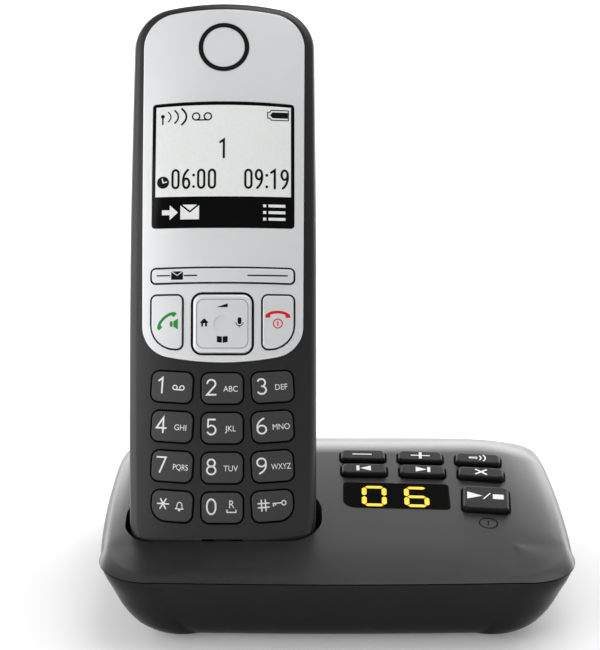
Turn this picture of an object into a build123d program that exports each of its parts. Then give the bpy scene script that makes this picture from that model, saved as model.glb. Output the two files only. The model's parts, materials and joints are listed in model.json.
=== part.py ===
from build123d import *
import os
from math import asin, cos, degrees, radians, sin, sqrt, tan

os.makedirs("parts", exist_ok=True)

# Answering machine: a pebble-shaped base with seven keys and a two-digit message window, and a
# cordless handset that leans back in the charging well at its left. Millimetres, +Z up, X to the
# right, -Y to the front. The origin is under the middle of the base, on the desk.

# ---------------------------------------------------------------- base sizes
base_half_width = 62.3          # at the seam between the shells, at the widest point of the sides
base_half_depth = 48.3
side_radius = 322               # the long sides and the ends are shallow arcs
end_radius = 1175
base_corner = 17
seam_height = 19
underside_height = 1.5
underside_side_inset = 13.5
underside_end_inset = 6.8
underside_corner = 13
base_wall = 1.9
seam_step = 0.3                 # the bottom shell is smaller by this, which draws the seam line

top_slope = 9                   # degrees, rising to the back
crown_rise = 8.25               # crown above the seam, over the middle of the base
roll_start = 12.8               # where the top starts to roll over to the back, along its slope
roll_radius = 31
roll_turn = 29                  # degrees, down to the back edge

# ---------------------------------------------------------------- base controls
control_arc = 400               # keys and window follow wide arcs, each turned with its own arc
key_column = 24.8               # middle column of the small keys
key_column_pitch = 16.1
back_key_row = 10.55            # places on the middle line of the base, where each arc crosses it
front_key_row = 3.1
small_key_width = 12.4
small_key_depth = 5.5
play_key_x = 40.7
play_key_row = -9.9
play_key_width = 12.3
play_key_depth = 11.5
base_key_corner = 1.6
base_key_proud = 1.2
base_key_round = 0.8
base_key_gap = 0.35             # round each key in its opening
base_key_travel = 0.6
key_rim = 0.55                  # a rim under the shell keeps each key in
key_rim_thickness = 1.0
key_room = key_rim + 0.3        # pocket under the shell for the rim
under_shell_gap = 0.3
plunger_side = 3.6

window_x = 16.8
window_row = -9.05
window_width = 28.4
window_depth = 12.3
window_corner = 1
window_front_corner = 3.5       # the corner nearest the handset
window_thickness = 1.2
window_ledge = 1.0
trim_gap = 0.1                  # between a glued-in part and its recess
led_width = 23
led_depth = 9
led_gap = 0.3

# ---------------------------------------------------------------- base inside
board_drop = 9.6                # top of the circuit board below the crown
board_thickness = 1.6
post_radius = 2
post_inset = 2.6                # posts under the top shell hold the board by its corners
base_board_left = 2.5
base_board_right = 51
base_board_front = -25
base_board_back = 22
mat_thickness = 0.9
dome_height = 0.7
dome_radius = 2.2
press_gap = base_key_travel + 0.2     # plunger above its dome at rest
mat_front = -17
mat_back = 16
mat_side = 1                    # the mat stops this far inside the board's sides

screw_places = [(-38, 30), (38, 30), (38, -30), (7, -31)]
screw_radius = 1.4
screw_head_radius = 2.6
screw_head_height = 1.8
screw_seat = 3.7                # height of the underside of each head
screw_length = 11
screw_clearance = 0.1
boss_radius = 3.2
boss_joint_height = 9           # where the bottom shell's pillars meet the top shell's bosses

foot_radius = 4.5
foot_recess = 0.8
foot_edge = 0.5
foot_x = 29
foot_y = 33.5

speaker_x = 24
speaker_y = 0
speaker_radius = 18
speaker_rim_height = 1.6
speaker_height = 10.5
magnet_radius = 9
magnet_height = 4
speaker_ring_wall = 1.5
speaker_ring_height = 3
grille_slot_width = 1.8
grille_slot_pitch = 4.2
grille_slots = 7

jack_floor_gap = 0.2
power_jack_x = 4
power_jack_width = 9
power_jack_height = 9.5
power_jack_length = 12
power_socket_radius = 2.75
power_socket_depth = 9
power_pin_radius = 0.65
line_jack_x = 21
line_jack_width = 13
line_jack_height = 11
line_jack_length = 14
line_socket_width = 9.8
line_socket_height = 6.8
line_socket_depth = 11.5
latch_width = 4
latch_height = 1.4
jack_back = 43.2                # back faces of both sockets

# ---------------------------------------------------------------- handset sizes
handset_lean = 22               # degrees back from upright
handset_foot_x = -29.5          # middle of its lower end, where front and back shells meet
handset_foot_y = -26.96
handset_foot_z = 10.94
handset_length = 152
handset_width = 49
handset_side_bow = 0.3
handset_end_radius = 85
handset_top_corner = 11.5
handset_bottom_corner = 14
handset_middle = 75             # height of the thickest point above the lower end
front_face = 11
front_across_radius = 100
front_along_radius = 580
front_round = 2.6
back_face = -13.2
back_across_radius = 80
back_along_radius = 1400
back_round = 5.5
handset_wall = 1.6

# ---------------------------------------------------------------- charging well
well_side_gap = 1.5
well_front = 7.75               # inner faces, measured from the handset's parting plane
well_back = -14.4
well_corner = 9.5
well_floor_gap = 0.3
well_wall = 1.4
lift_height = 40

contact_spacing = 16
contact_row = -3.2              # in front of (+) or behind (-) the parting plane
contact_radius = 1.3
contact_collar = 2.2
contact_collar_height = 0.8
contact_tip = 0.2               # height of the sprung tips above the handset's lower end
contact_gap = 0.3
contact_travel = 1.0
contact_guide_gap = 0.2
pad_width = 5
pad_depth = 6
pad_thickness = 1.2
holder_half_width = 12.5
holder_front = 0.6
holder_back = -6.6
holder_depth = 3.2

# ---------------------------------------------------------------- handset front
plate_top = 149.8
plate_side = 21.45
plate_lower_side = 20.9
plate_bottom = 55.2
plate_top_radius = 83
plate_bottom_radius = 72
plate_top_corner = 9.3
plate_bottom_corner = 8.2
plate_proud = 0.35
plate_thickness = 1.2
plate_edge = 0.3

earpiece_height = 139.2
earpiece_radius = 6.75
earpiece_ring_width = 1.15
ring_proud = 0.15
earpiece_hole_radius = 0.6
earpiece_hole_count = 6
earpiece_hole_circle = 2.6

lens_half_width = 18.6
lens_bottom = 90.3
lens_top = 124.1
lens_top_arch = 0.6
lens_corner = 1.0
lens_proud = 0.3
lens_thickness = 1.1
lens_ledge = 0.8
lcd_half_width = 16.8
lcd_bottom = 92
lcd_top = 122.6
lcd_face = 6.9
lcd_chamfer = 0.3

softkey_bottom = 75.6
softkey_top = 79.9
softkey_half_width = 18.7
softkey_arch = 0.2
softkey_corner = 1.3
softkey_pivot_face = 7.0
softkey_underside = 6.2
softkey_plunger_x = 14
softkey_plunger_side = 2
trunnion_radius = 0.7
trunnion_ear = 1.1

command_inner = 10.2            # talk and end keys, from the middle line
command_outer = 18.7
command_bottom = 58.5
command_top = 72.8
command_corner = 1.6
command_outer_corner = 6.5

pad_middle = 65.2               # four-way pad
pad_side = 16
pad_corner = 2.7
pad_dimple_radius = 2.2
pad_dimple_depth = 0.3
pad_gap = 0.4
pad_cap = 1.6
pivot_level = 4.8
pivot_radius = 0.8
pivot_ear = 1.2
pivot_ear_reach = 5.6
pivot_bore_gap = 0.06
pivot_block = 3.4
pad_bevel = 0.75
pad_skirt = 1.2
bracket_side = 12.8
bracket_floor = 0.8
pad_dome_reach = 7.3
pad_dome_radius = 0.7

number_first_row = 17.8
number_row_pitch = 10.23
number_column_pitch = 13.0
number_smile_radius = 200       # the columns follow a shallow smile
number_opening_width = 11.1
number_opening_height = 8.3
number_corner = 2.2
number_low_corner = 4.2
handset_key_gap = 0.3
handset_key_proud = 0.45
handset_key_bevel = 0.2
handset_key_rim = 0.75

microphone_height = 9.4
microphone_slot_width = 10.5
microphone_slot_height = 0.6
microphone_radius = 2.4
microphone_length = 2.2

# ---------------------------------------------------------------- handset inside
handset_board_bottom = 0.4
handset_board_thickness = 1.2
handset_board_half_width = 19
handset_board_low = 12
handset_board_high = 139
handset_mat = 0.5
handset_dome = 0.6
handset_dome_radius = 2
handset_press_gap = 0.7         # plunger above its dome at rest
earpiece_speaker_radius = 6.4
earpiece_speaker_height = 3

cell_radius = 5.25
cell_length = 44.5
cell_middle = 68.8
cell_level = -6.0
cell_gap = 0.5
cell_end_cap = 0.9
cell_nub = 0.8
tray_wall = 0.9
tray_side_gap = 0.35
tray_end_gap = 1.5
cover_half_width = 16.5
cover_low = 37
cover_high = 99
cover_corner = 3
cover_gap = 0.25
cover_thickness = 1.4

ringer_height = 119
ringer_radius = 9
ringer_thickness = 3.6
ringer_slots = 3
ringer_slot_pitch = 3.2
ringer_slot_width = 1.2
ringer_slot_length = 10

handset_screw_x = 14
handset_screw_low = 7.5
handset_screw_high = 143.6
handset_screw_radius = 0.9
handset_screw_head = 1.7
handset_screw_head_height = 1.2
handset_screw_seat = -7.2        # level that the heads are drawn down to
handset_boss_radius = 2.4
handset_screw_tip = 3
pillar_extra = 0.6
screw_slot = 0.5
boss_split = -4                 # where the front shell's bosses meet the back shell's pillars

# ---------------------------------------------------------------- frames
HANDSET = Plane(
    origin=(handset_foot_x, handset_foot_y, handset_foot_z),
    x_dir=(1, 0, 0),
    z_dir=(0, -cos(radians(handset_lean)), sin(radians(handset_lean))),
)
CROWN = Plane(
    origin=(0, 0, seam_height + crown_rise),
    x_dir=(1, 0, 0),
    z_dir=(0, -sin(radians(top_slope)), cos(radians(top_slope))),
)


def save(part, label):
    """Label a finished piece and write it to its own file."""
    part.label = label
    export_step(part, f"parts/{label}.step")


def save_handset(part, label):
    """Handset pieces are made lying on their back, and leaned into the well here."""
    save(part.moved(HANDSET.location), label)


def sag(radius, half_chord):
    """How far an arc falls below its crest at this distance from the middle."""
    return radius - sqrt(radius**2 - half_chord**2)


# ================================================================ base shells
def base_outline(plane, side_inset, front_inset, back_inset, corner):
    """Outline of the base in a level plane, with bowed sides and round corners."""
    width = base_half_width - side_inset
    front = front_inset - base_half_depth
    back = base_half_depth - back_inset
    middle = (front + back) / 2
    front_corner = front + sag(end_radius, width)
    back_corner = back - sag(end_radius, width)
    front_x = width - sag(side_radius, front_corner)
    back_x = width - sag(side_radius, back_corner)
    middle_x = width - sag(side_radius, middle)
    with BuildSketch(plane) as outline:
        with BuildLine():
            ThreePointArc((-front_x, front_corner), (0, front), (front_x, front_corner))
            ThreePointArc((front_x, front_corner), (middle_x, middle), (back_x, back_corner))
            ThreePointArc((back_x, back_corner), (0, back), (-back_x, back_corner))
            ThreePointArc((-back_x, back_corner), (-middle_x, middle), (-front_x, front_corner))
        make_face()
        fillet(outline.vertices(), radius=min(corner, 0.4 * (back - front)))
    return outline.sketch


# The top shell's skin, as insets from the seam outline at levels that lean more and more with
# the crown: share of the crown's rise, side inset, front inset, back inset.
top_levels = [
    (0.0, 0.0, 0.0, 0.0),
    (0.15, 0.2, 0.5, 0.5),
    (0.4, 0.8, 1.5, 1.5),
    (0.6, 1.9, 2.6, 2.5),
    (0.78, 5.2, 4.3, 4.0),
    (0.92, 11.5, 7.5, 6.5),
    (1.08, 21.0, 13.0, 12.0),
]


def level_plane(share, drop):
    """Plane between the seam (share 0) and the crown (share 1), lowered by drop."""
    lean = radians(top_slope * share)
    return Plane(
        origin=(0, 0, seam_height + crown_rise * share - drop),
        x_dir=(1, 0, 0),
        z_dir=(0, -sin(lean), cos(lean)),
    )


def under_crown(drop):
    """Everything under the crown of the base and its roll-over to the back, lowered by drop."""
    def rolled(turn):
        arc = roll_radius - drop
        return (roll_start + arc * sin(radians(turn)), arc * cos(radians(turn)) - roll_radius)

    low_end = -2 * base_half_depth
    high_end = 2 * base_half_depth
    last_y, last_z = rolled(roll_turn)
    with BuildPart() as block:
        with BuildSketch(Plane.YZ.offset(-2 * base_half_width)):
            with BuildLine():
                Line((low_end, -drop), rolled(0))
                ThreePointArc(rolled(0), rolled(roll_turn / 2), (last_y, last_z))
                Polyline(
                    (last_y, last_z),
                    (high_end, last_z - (high_end - last_y) * tan(radians(roll_turn))),
                    (high_end, low_end),
                    (low_end, low_end),
                    (low_end, -drop),
                )
            make_face()
        extrude(amount=4 * base_half_width)
    return block.part.moved(CROWN.location)


def top_body(inset):
    """Solid between the seam and the crown, inset all round."""
    levels = [
        base_outline(level_plane(share, inset), side + inset, front + inset, back + inset, base_corner)
        for share, side, front, back in top_levels
    ]
    with BuildPart() as body:
        loft(levels)
        add(under_crown(inset), mode=Mode.INTERSECT)
    return body.part


# The bowl of the bottom shell: share of the way down from the seam, and share of the full inset.
bowl_levels = [(0.0, 0.0), (0.35, 0.26), (0.74, 0.53), (0.92, 0.78), (1.0, 1.0)]


def bowl_body(inset):
    """Solid between the seam and the underside, inset all round."""
    depth = seam_height - underside_height
    levels = []
    for down, share in bowl_levels:
        side = seam_step + underside_side_inset * share + inset
        end = seam_step + underside_end_inset * share + inset
        corner = base_corner + (underside_corner - base_corner) * share
        level = Plane.XY.offset(seam_height - depth * down + inset)
        levels.append(base_outline(level, side, end, end, corner))
    with BuildPart() as body:
        loft(levels)
    return body.part


def control_seat(x, row):
    """Plane on the crown in the middle of a control, with its z along the crown's normal."""
    y = row - sag(control_arc, x)
    turn = -degrees(asin(x / control_arc))
    return Plane(CROWN.location * Location((x, y, 0), (0, 0, turn)))


# ================================================================ handset body
def crowned(face, across_radius, along_radius, level):
    """Barrel whose skin is a crowned face of the handset, moved outwards by level."""
    side = 1 if face > 0 else -1
    axis_level = face - side * across_radius
    reach = 0.6 * handset_length
    crest = axis_level - side * (across_radius + level)
    rim = crest + side * sag(along_radius + level, reach)
    low = handset_middle - reach
    high = handset_middle + reach
    with BuildPart() as barrel:
        with BuildSketch(Plane.YZ):
            with BuildLine():
                ThreePointArc((low, rim), (handset_middle, crest), (high, rim))
                Polyline((high, rim), (high, axis_level), (low, axis_level), (low, rim))
            make_face()
        revolve(axis=Axis((0, 0, axis_level), (0, 1, 0)))
    return barrel.part


def under_front(level):
    """Everything behind the handset's front face, moved outwards by level."""
    return crowned(front_face, front_across_radius, front_along_radius, level)


def under_back(level):
    """Everything in front of the handset's back face, moved outwards by level."""
    return crowned(back_face, back_across_radius, back_along_radius, level)


def handset_outline(inset):
    """Outline of the handset, seen from the front."""
    half = handset_width / 2 - inset
    corner_x = half - handset_side_bow
    end_sag = sag(handset_end_radius, corner_x)
    low = inset + end_sag
    high = handset_length - inset - end_sag
    with BuildSketch() as outline:
        with BuildLine():
            ThreePointArc((-corner_x, low), (0, inset), (corner_x, low))
            ThreePointArc((corner_x, low), (half, (low + high) / 2), (corner_x, high))
            ThreePointArc((corner_x, high), (0, handset_length - inset), (-corner_x, high))
            ThreePointArc((-corner_x, high), (-half, (low + high) / 2), (-corner_x, low))
        make_face()
        ends = outline.vertices().group_by(Axis.Y)
        fillet(ends[0], radius=handset_bottom_corner - inset)
        ends = outline.vertices().group_by(Axis.Y)
        fillet(ends[-1], radius=handset_top_corner - inset)
    return outline.sketch


def handset_body(inset):
    """Solid handset with both faces crowned and all edges round, inset all round."""
    with BuildPart() as body:
        with BuildSketch(Plane.XY.offset(2 * back_face)):
            add(handset_outline(inset))
        extrude(amount=2 * (front_face - back_face))
        add(under_front(-inset), mode=Mode.INTERSECT)
        add(under_back(-inset), mode=Mode.INTERSECT)
        fillet(body.faces().sort_by(Axis.Z)[-1].edges(), radius=max(front_round - inset, 0.6))
        fillet(body.faces().sort_by(Axis.Z)[0].edges(), radius=max(back_round - inset, 0.6))
    return body.part


handset_outer = handset_body(0)
handset_inner = handset_body(handset_wall)
plate_seat = plate_proud - plate_thickness
board_top = handset_board_bottom + handset_board_thickness
handset_key_bottom = board_top + handset_mat + handset_dome + handset_press_gap


# ---------------------------------------------------------------- outlines on the handset's face
def plate_outline(grow):
    """Shield-shaped outline of the faceplate."""
    side = plate_side + grow
    low_side = plate_lower_side + grow
    top = plate_top + grow
    bottom = plate_bottom - grow
    top_y = top - sag(plate_top_radius, side)
    low_y = bottom + sag(plate_bottom_radius, low_side)
    with BuildSketch() as outline:
        with BuildLine():
            ThreePointArc((-side, top_y), (0, top), (side, top_y))
            Line((side, top_y), (low_side, low_y))
            ThreePointArc((low_side, low_y), (0, bottom), (-low_side, low_y))
            Line((-low_side, low_y), (-side, top_y))
        make_face()
        fillet(outline.vertices().group_by(Axis.Y)[-1], radius=plate_top_corner + grow)
        fillet(outline.vertices().group_by(Axis.Y)[0], radius=plate_bottom_corner + grow)
    return outline.sketch


def arched_outline(half_width, low, high, low_arch, high_arch, corner):
    """Box whose lower and upper sides may rise in a shallow arch."""
    with BuildSketch() as outline:
        with BuildLine():
            if low_arch:
                ThreePointArc((-half_width, low), (0, low + low_arch), (half_width, low))
            else:
                Line((-half_width, low), (half_width, low))
            Line((half_width, low), (half_width, high))
            ThreePointArc((half_width, high), (0, high + high_arch), (-half_width, high))
            Line((-half_width, high), (-half_width, low))
        make_face()
        fillet(outline.vertices(), radius=corner)
    return outline.sketch


def lens_outline(grow):
    high = lens_top - lens_top_arch + grow
    return arched_outline(lens_half_width + grow, lens_bottom - grow, high, 0, lens_top_arch, lens_corner)


def softkey_outline(grow):
    low = softkey_bottom - grow
    high = softkey_top - softkey_arch + grow
    corner = softkey_corner + grow
    return arched_outline(softkey_half_width + grow, low, high, softkey_arch, softkey_arch, corner)


def round_corners(outline, side, corner, wide_corner):
    """Round a box, with its lower corner on this side (-1 left, 1 right) rounded more widely."""
    def outwards(vertex):
        return side * vertex.X - vertex.Y

    fillet(outline.vertices().sort_by(outwards)[:-1], radius=corner)
    fillet(outline.vertices().sort_by(outwards)[-1], radius=wide_corner)


def command_outline(side, grow):
    """Talk key (side -1) or end key (side 1); its outer lower corner is cut away in a wide curve."""
    width = command_outer - command_inner + 2 * grow
    height = command_top - command_bottom + 2 * grow
    middle_x = side * (command_outer + command_inner) / 2
    middle_y = (command_top + command_bottom) / 2
    with BuildSketch() as outline:
        with Locations((middle_x, middle_y)):
            Rectangle(width, height)
        round_corners(outline, side, command_corner + grow, command_outer_corner + grow)
    return outline.sketch


def pad_outline(grow):
    with BuildSketch() as outline:
        with Locations((0, pad_middle)):
            RectangleRounded(pad_side + 2 * grow, pad_side + 2 * grow, pad_corner + grow)
    return outline.sketch


def number_place(row, column):
    """Middle of a number key, and its turn on the smile curve."""
    x = column * number_column_pitch
    y = number_first_row + row * number_row_pitch + sag(number_smile_radius, x)
    return Location((x, y, 0), (0, 0, degrees(asin(x / number_smile_radius))))


def number_outline(row, column, grow):
    """Opening round a number key; the outer lower corners of the last row are wider."""
    width = number_opening_width + 2 * grow
    height = number_opening_height + 2 * grow
    with BuildSketch() as outline:
        with Locations(number_place(row, column)):
            Rectangle(width, height)
        if row == 0 and column:
            round_corners(outline, column, number_corner + grow, number_low_corner + grow)
        else:
            fillet(outline.vertices(), radius=number_corner + grow)
    return outline.sketch


number_keys = [
    ("key_star", 0, -1), ("key_0", 0, 0), ("key_hash", 0, 1),
    ("key_7", 1, -1), ("key_8", 1, 0), ("key_9", 1, 1),
    ("key_4", 2, -1), ("key_5", 2, 0), ("key_6", 2, 1),
    ("key_1", 3, -1), ("key_2", 3, 0), ("key_3", 3, 1),
]
command_keys = [("talk_key", -1), ("end_key", 1)]
handset_screw_places = [
    (-handset_screw_x, handset_screw_low), (handset_screw_x, handset_screw_low),
    (-handset_screw_x, handset_screw_high), (handset_screw_x, handset_screw_high),
]


def column_cut(outline, low=1.0):
    """Upright solid over an outline, from just above the parting plane to clear of the face."""
    with BuildPart() as column:
        with BuildSketch(Plane.XY.offset(low)):
            add(outline)
        extrude(amount=2 * front_face)
    return column.part


# ---------------------------------------------------------------- handset front shell
softkey_ear_y = softkey_bottom - 0.35 - trunnion_ear / 2
softkey_ear_high_y = softkey_top + 0.35 + trunnion_ear / 2

with BuildPart() as front_ribs:
    with BuildSketch(Plane.XY.offset(boss_split)):
        with Locations(handset_screw_places):
            Circle(handset_boss_radius)
    extrude(amount=2 * front_face)
    with BuildSketch(Plane.XY.offset(softkey_pivot_face - 2 * trunnion_radius)):
        with Locations((0, softkey_ear_y), (0, softkey_ear_high_y)):
            Rectangle(4.5 * trunnion_radius, trunnion_ear)
    extrude(amount=front_face)
    add(handset_body(handset_wall / 2), mode=Mode.INTERSECT)

with BuildPart() as plate_recess:
    add(column_cut(plate_outline(trim_gap)))
    add(under_front(plate_seat), mode=Mode.SUBTRACT)

with BuildPart() as handset_front_shell:
    add(handset_outer)
    add(handset_inner, mode=Mode.SUBTRACT)
    split(bisect_by=Plane.XY, keep=Keep.TOP)
    add(front_ribs.part)
    add(plate_recess.part, mode=Mode.SUBTRACT)
    add(column_cut(lens_outline(-lens_ledge)), mode=Mode.SUBTRACT)
    add(column_cut(softkey_outline(0)), mode=Mode.SUBTRACT)
    add(column_cut(pad_outline(0)), mode=Mode.SUBTRACT)
    for label, side in command_keys:
        add(column_cut(command_outline(side, 0)), mode=Mode.SUBTRACT)
    for label, row, column in number_keys:
        add(column_cut(number_outline(row, column, 0)), mode=Mode.SUBTRACT)
    with BuildSketch(Plane.XY.offset(1)):
        with Locations((0, earpiece_height)):
            with PolarLocations(earpiece_hole_circle, earpiece_hole_count):
                Circle(earpiece_hole_radius)
        with Locations((0, microphone_height)):
            Rectangle(microphone_slot_width, microphone_slot_height)
    extrude(amount=2 * front_face, mode=Mode.SUBTRACT)
    with BuildSketch(Plane.XY.offset(2 * back_face)):
        with Locations(handset_screw_places):
            Circle(handset_screw_radius + screw_clearance)
    extrude(amount=handset_screw_tip + 0.5 - 2 * back_face, mode=Mode.SUBTRACT)
    with BuildSketch(Plane.XZ.offset(-softkey_top - 3 * trunnion_ear)):
        with Locations((0, softkey_pivot_face)):
            Circle(trunnion_radius + pivot_bore_gap)
    extrude(amount=softkey_top - softkey_bottom + 6 * trunnion_ear, mode=Mode.SUBTRACT)
save_handset(handset_front_shell.part, "handset_front_shell")


# ---------------------------------------------------------------- handset back shell
def cover_outline(grow):
    """Outline of the battery cover, in a plane behind the handset."""
    with BuildSketch(Plane.XY.offset(2 * back_face)) as outline:
        with Locations((0, (cover_low + cover_high) / 2)):
            RectangleRounded(
                2 * (cover_half_width + grow), cover_high - cover_low + 2 * grow, cover_corner + grow
            )
    return outline.sketch


with BuildPart() as back_pillars:
    with BuildSketch(Plane.XY.offset(boss_split)):
        with Locations(handset_screw_places):
            Circle(handset_boss_radius + pillar_extra)
    extrude(amount=2 * back_face)
    add(handset_body(handset_wall / 2), mode=Mode.INTERSECT)

pad_low = contact_tip + contact_gap
with BuildPart() as handset_back_shell:
    add(handset_outer)
    add(handset_inner, mode=Mode.SUBTRACT)
    split(bisect_by=Plane.XY, keep=Keep.BOTTOM)
    add(back_pillars.part)
    extrude(cover_outline(cover_gap), amount=-2 * back_face, mode=Mode.SUBTRACT)
    with BuildSketch(Plane.XY.offset(2 * back_face)):
        with Locations(handset_screw_places):
            Circle(handset_screw_radius + screw_clearance)
    extrude(amount=-2 * back_face, mode=Mode.SUBTRACT)
    with BuildSketch(Plane.XY.offset(handset_screw_seat)):
        with Locations(handset_screw_places):
            Circle(handset_screw_head + screw_clearance)
    extrude(amount=2 * back_face, mode=Mode.SUBTRACT)
    with BuildSketch(Plane.XY.offset(2 * back_face)):
        with Locations((0, ringer_height)):
            with GridLocations(0, ringer_slot_pitch, 1, ringer_slots):
                SlotOverall(ringer_slot_length, ringer_slot_width)
    extrude(amount=-2 * back_face, mode=Mode.SUBTRACT)
    with Locations((0, 0, contact_row)):
        with GridLocations(contact_spacing, 1, 2, 1):
            Box(
                pad_width + 2 * trim_gap,
                3 * (pad_low + pad_thickness),
                pad_depth + 2 * trim_gap,
                mode=Mode.SUBTRACT,
            )
save_handset(handset_back_shell.part, "handset_back_shell")

with BuildPart() as battery_cover:
    add(handset_outer)
    add(handset_body(cover_thickness), mode=Mode.SUBTRACT)
    split(bisect_by=Plane.XY, keep=Keep.BOTTOM)
    extrude(cover_outline(0), amount=-2 * back_face, mode=Mode.INTERSECT)
save_handset(battery_cover.part, "battery_cover")

# ---------------------------------------------------------------- handset faceplate and display
with BuildPart() as faceplate:
    add(column_cut(plate_outline(0)))
    add(under_front(plate_proud), mode=Mode.INTERSECT)
    fillet(faceplate.faces().sort_by(Axis.Z)[-1].edges(), radius=plate_edge)
    add(under_front(plate_seat), mode=Mode.SUBTRACT)
    add(column_cut(lens_outline(trim_gap)), mode=Mode.SUBTRACT)
    add(column_cut(softkey_outline(0)), mode=Mode.SUBTRACT)
    add(column_cut(pad_outline(0)), mode=Mode.SUBTRACT)
    for label, side in command_keys:
        add(column_cut(command_outline(side, 0)), mode=Mode.SUBTRACT)
    with BuildSketch(Plane.XY):
        with Locations((0, earpiece_height)):
            Circle(earpiece_radius)
    extrude(amount=2 * front_face, mode=Mode.SUBTRACT)
save_handset(faceplate.part, "faceplate")


def face_layer(outline, low, high):
    """Crowned sheet under the handset's face, between two levels."""
    with BuildPart() as layer:
        add(column_cut(outline))
        add(under_front(high), mode=Mode.INTERSECT)
        add(under_front(low), mode=Mode.SUBTRACT)
    return layer.part


save_handset(face_layer(lens_outline(0), lens_proud - lens_thickness, lens_proud), "screen_lens")

with BuildSketch() as ring_outline:
    with Locations((0, earpiece_height)):
        Circle(earpiece_radius - trim_gap)
        Circle(earpiece_radius - earpiece_ring_width, mode=Mode.SUBTRACT)
save_handset(face_layer(ring_outline.sketch, plate_seat, plate_proud + ring_proud), "earpiece_ring")

with BuildSketch() as disc_outline:
    with Locations((0, earpiece_height)):
        Circle(earpiece_radius - earpiece_ring_width - trim_gap)
save_handset(face_layer(disc_outline.sketch, plate_seat, plate_proud), "earpiece_disc")

with BuildPart() as lcd_module:
    with BuildSketch(Plane.XY.offset(board_top)):
        with Locations((0, (lcd_bottom + lcd_top) / 2)):
            Rectangle(2 * lcd_half_width, lcd_top - lcd_bottom)
    extrude(amount=lcd_face - board_top)
    chamfer(lcd_module.faces().sort_by(Axis.Z)[-1].edges(), length=lcd_chamfer)
save_handset(lcd_module.part, "lcd_module")


# ---------------------------------------------------------------- handset keys
def handset_key(outline, rim_outline, proud):
    """Key cap that follows the face, with a rim that the shell holds in."""
    with BuildPart() as rim:
        with BuildSketch(Plane.XY.offset(handset_key_bottom)):
            add(rim_outline)
        extrude(amount=front_face)
        add(under_front(-handset_wall - under_shell_gap), mode=Mode.INTERSECT)
    with BuildPart() as key:
        with BuildSketch(Plane.XY.offset(handset_key_bottom)):
            add(outline)
        extrude(amount=2 * front_face)
        add(under_front(proud), mode=Mode.INTERSECT)
        fillet(key.faces().sort_by(Axis.Z)[-1].edges(), radius=handset_key_bevel)
        add(rim.part)
    return key.part


key_rim_grow = handset_key_rim - handset_key_gap
for label, row, column in number_keys:
    outline = number_outline(row, column, -handset_key_gap)
    rim_outline = number_outline(row, column, key_rim_grow)
    save_handset(handset_key(outline, rim_outline, handset_key_proud), label)
for label, side in command_keys:
    outline = command_outline(side, -handset_key_gap)
    rim_outline = command_outline(side, key_rim_grow)
    save_handset(handset_key(outline, rim_outline, plate_proud + handset_key_proud), label)

with BuildPart() as softkey_bar:
    with BuildSketch(Plane.XY.offset(softkey_underside)):
        add(softkey_outline(-handset_key_gap))
    extrude(amount=2 * front_face)
    add(under_front(plate_proud + handset_key_proud), mode=Mode.INTERSECT)
    fillet(softkey_bar.faces().sort_by(Axis.Z)[-1].edges(), radius=handset_key_bevel)
    with BuildSketch(Plane.XY.offset(handset_key_bottom)):
        with Locations((0, (softkey_bottom + softkey_top) / 2)):
            with GridLocations(2 * softkey_plunger_x, 1, 2, 1):
                Rectangle(softkey_plunger_side, softkey_plunger_side)
    extrude(amount=softkey_underside - handset_key_bottom + 0.5)
    with BuildSketch(Plane.XZ.offset(-softkey_ear_high_y - trunnion_ear / 2)):
        with Locations((0, softkey_pivot_face)):
            Circle(trunnion_radius)
    extrude(amount=softkey_ear_high_y - softkey_ear_y + trunnion_ear)
save_handset(softkey_bar.part, "softkey_bar")

# ---------------------------------------------------------------- four-way pad on its gimbal
pad_half = pad_side / 2 - pad_gap
with BuildPart() as nav_pad:
    with BuildSketch(Plane.XY.offset(handset_key_bottom)):
        add(pad_outline(-pad_gap))
    extrude(amount=2 * front_face)
    add(under_front(plate_proud + handset_key_proud), mode=Mode.INTERSECT)
    fillet(nav_pad.faces().sort_by(Axis.Z)[-1].edges(), radius=pad_bevel)
    with BuildPart(mode=Mode.PRIVATE) as hollow:
        with BuildSketch(Plane.XY.offset(handset_key_bottom)):
            add(pad_outline(-pad_gap - pad_skirt))
        extrude(amount=2 * front_face)
        add(under_front(plate_proud + handset_key_proud - pad_cap), mode=Mode.INTERSECT)
    add(hollow.part, mode=Mode.SUBTRACT)
    with BuildSketch(Plane.XY.offset(front_face + plate_proud + handset_key_proud - pad_dimple_depth)):
        with Locations((0, pad_middle)):
            Circle(pad_dimple_radius)
    extrude(amount=front_face, mode=Mode.SUBTRACT)
    with BuildSketch(Plane.YZ.offset(-pad_side)):
        with Locations((pad_middle, pivot_level)):
            Circle(pivot_radius + pivot_bore_gap)
    extrude(amount=2 * pad_side, mode=Mode.SUBTRACT)
save_handset(nav_pad.part, "nav_pad")

with BuildPart() as nav_pivot:
    with Locations((0, pad_middle, pivot_level)):
        Box(pivot_block, pivot_block, 2 * pivot_radius + 0.8)
        Cylinder(pivot_radius, 2 * pad_half, rotation=(0, 90, 0))
        Cylinder(pivot_radius, 2 * (pivot_ear_reach + pivot_ear / 2), rotation=(90, 0, 0))
save_handset(nav_pivot.part, "nav_pivot")

with BuildPart() as nav_bracket:
    with BuildSketch(Plane.XY.offset(board_top)):
        with Locations((0, pad_middle)):
            Rectangle(bracket_side, bracket_side)
    extrude(amount=bracket_floor)
    with BuildSketch(Plane.XY.offset(board_top)):
        with Locations((0, pad_middle)):
            with GridLocations(1, 2 * pivot_ear_reach, 1, 2):
                Rectangle(4.5 * pivot_radius, pivot_ear)
    extrude(amount=pivot_level + 1.8 * pivot_radius - board_top)
    with BuildSketch(Plane.XZ.offset(-pad_middle - pad_side)):
        with Locations((0, pivot_level)):
            Circle(pivot_radius + pivot_bore_gap)
    extrude(amount=2 * pad_side, mode=Mode.SUBTRACT)
save_handset(nav_bracket.part, "nav_bracket")

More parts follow.
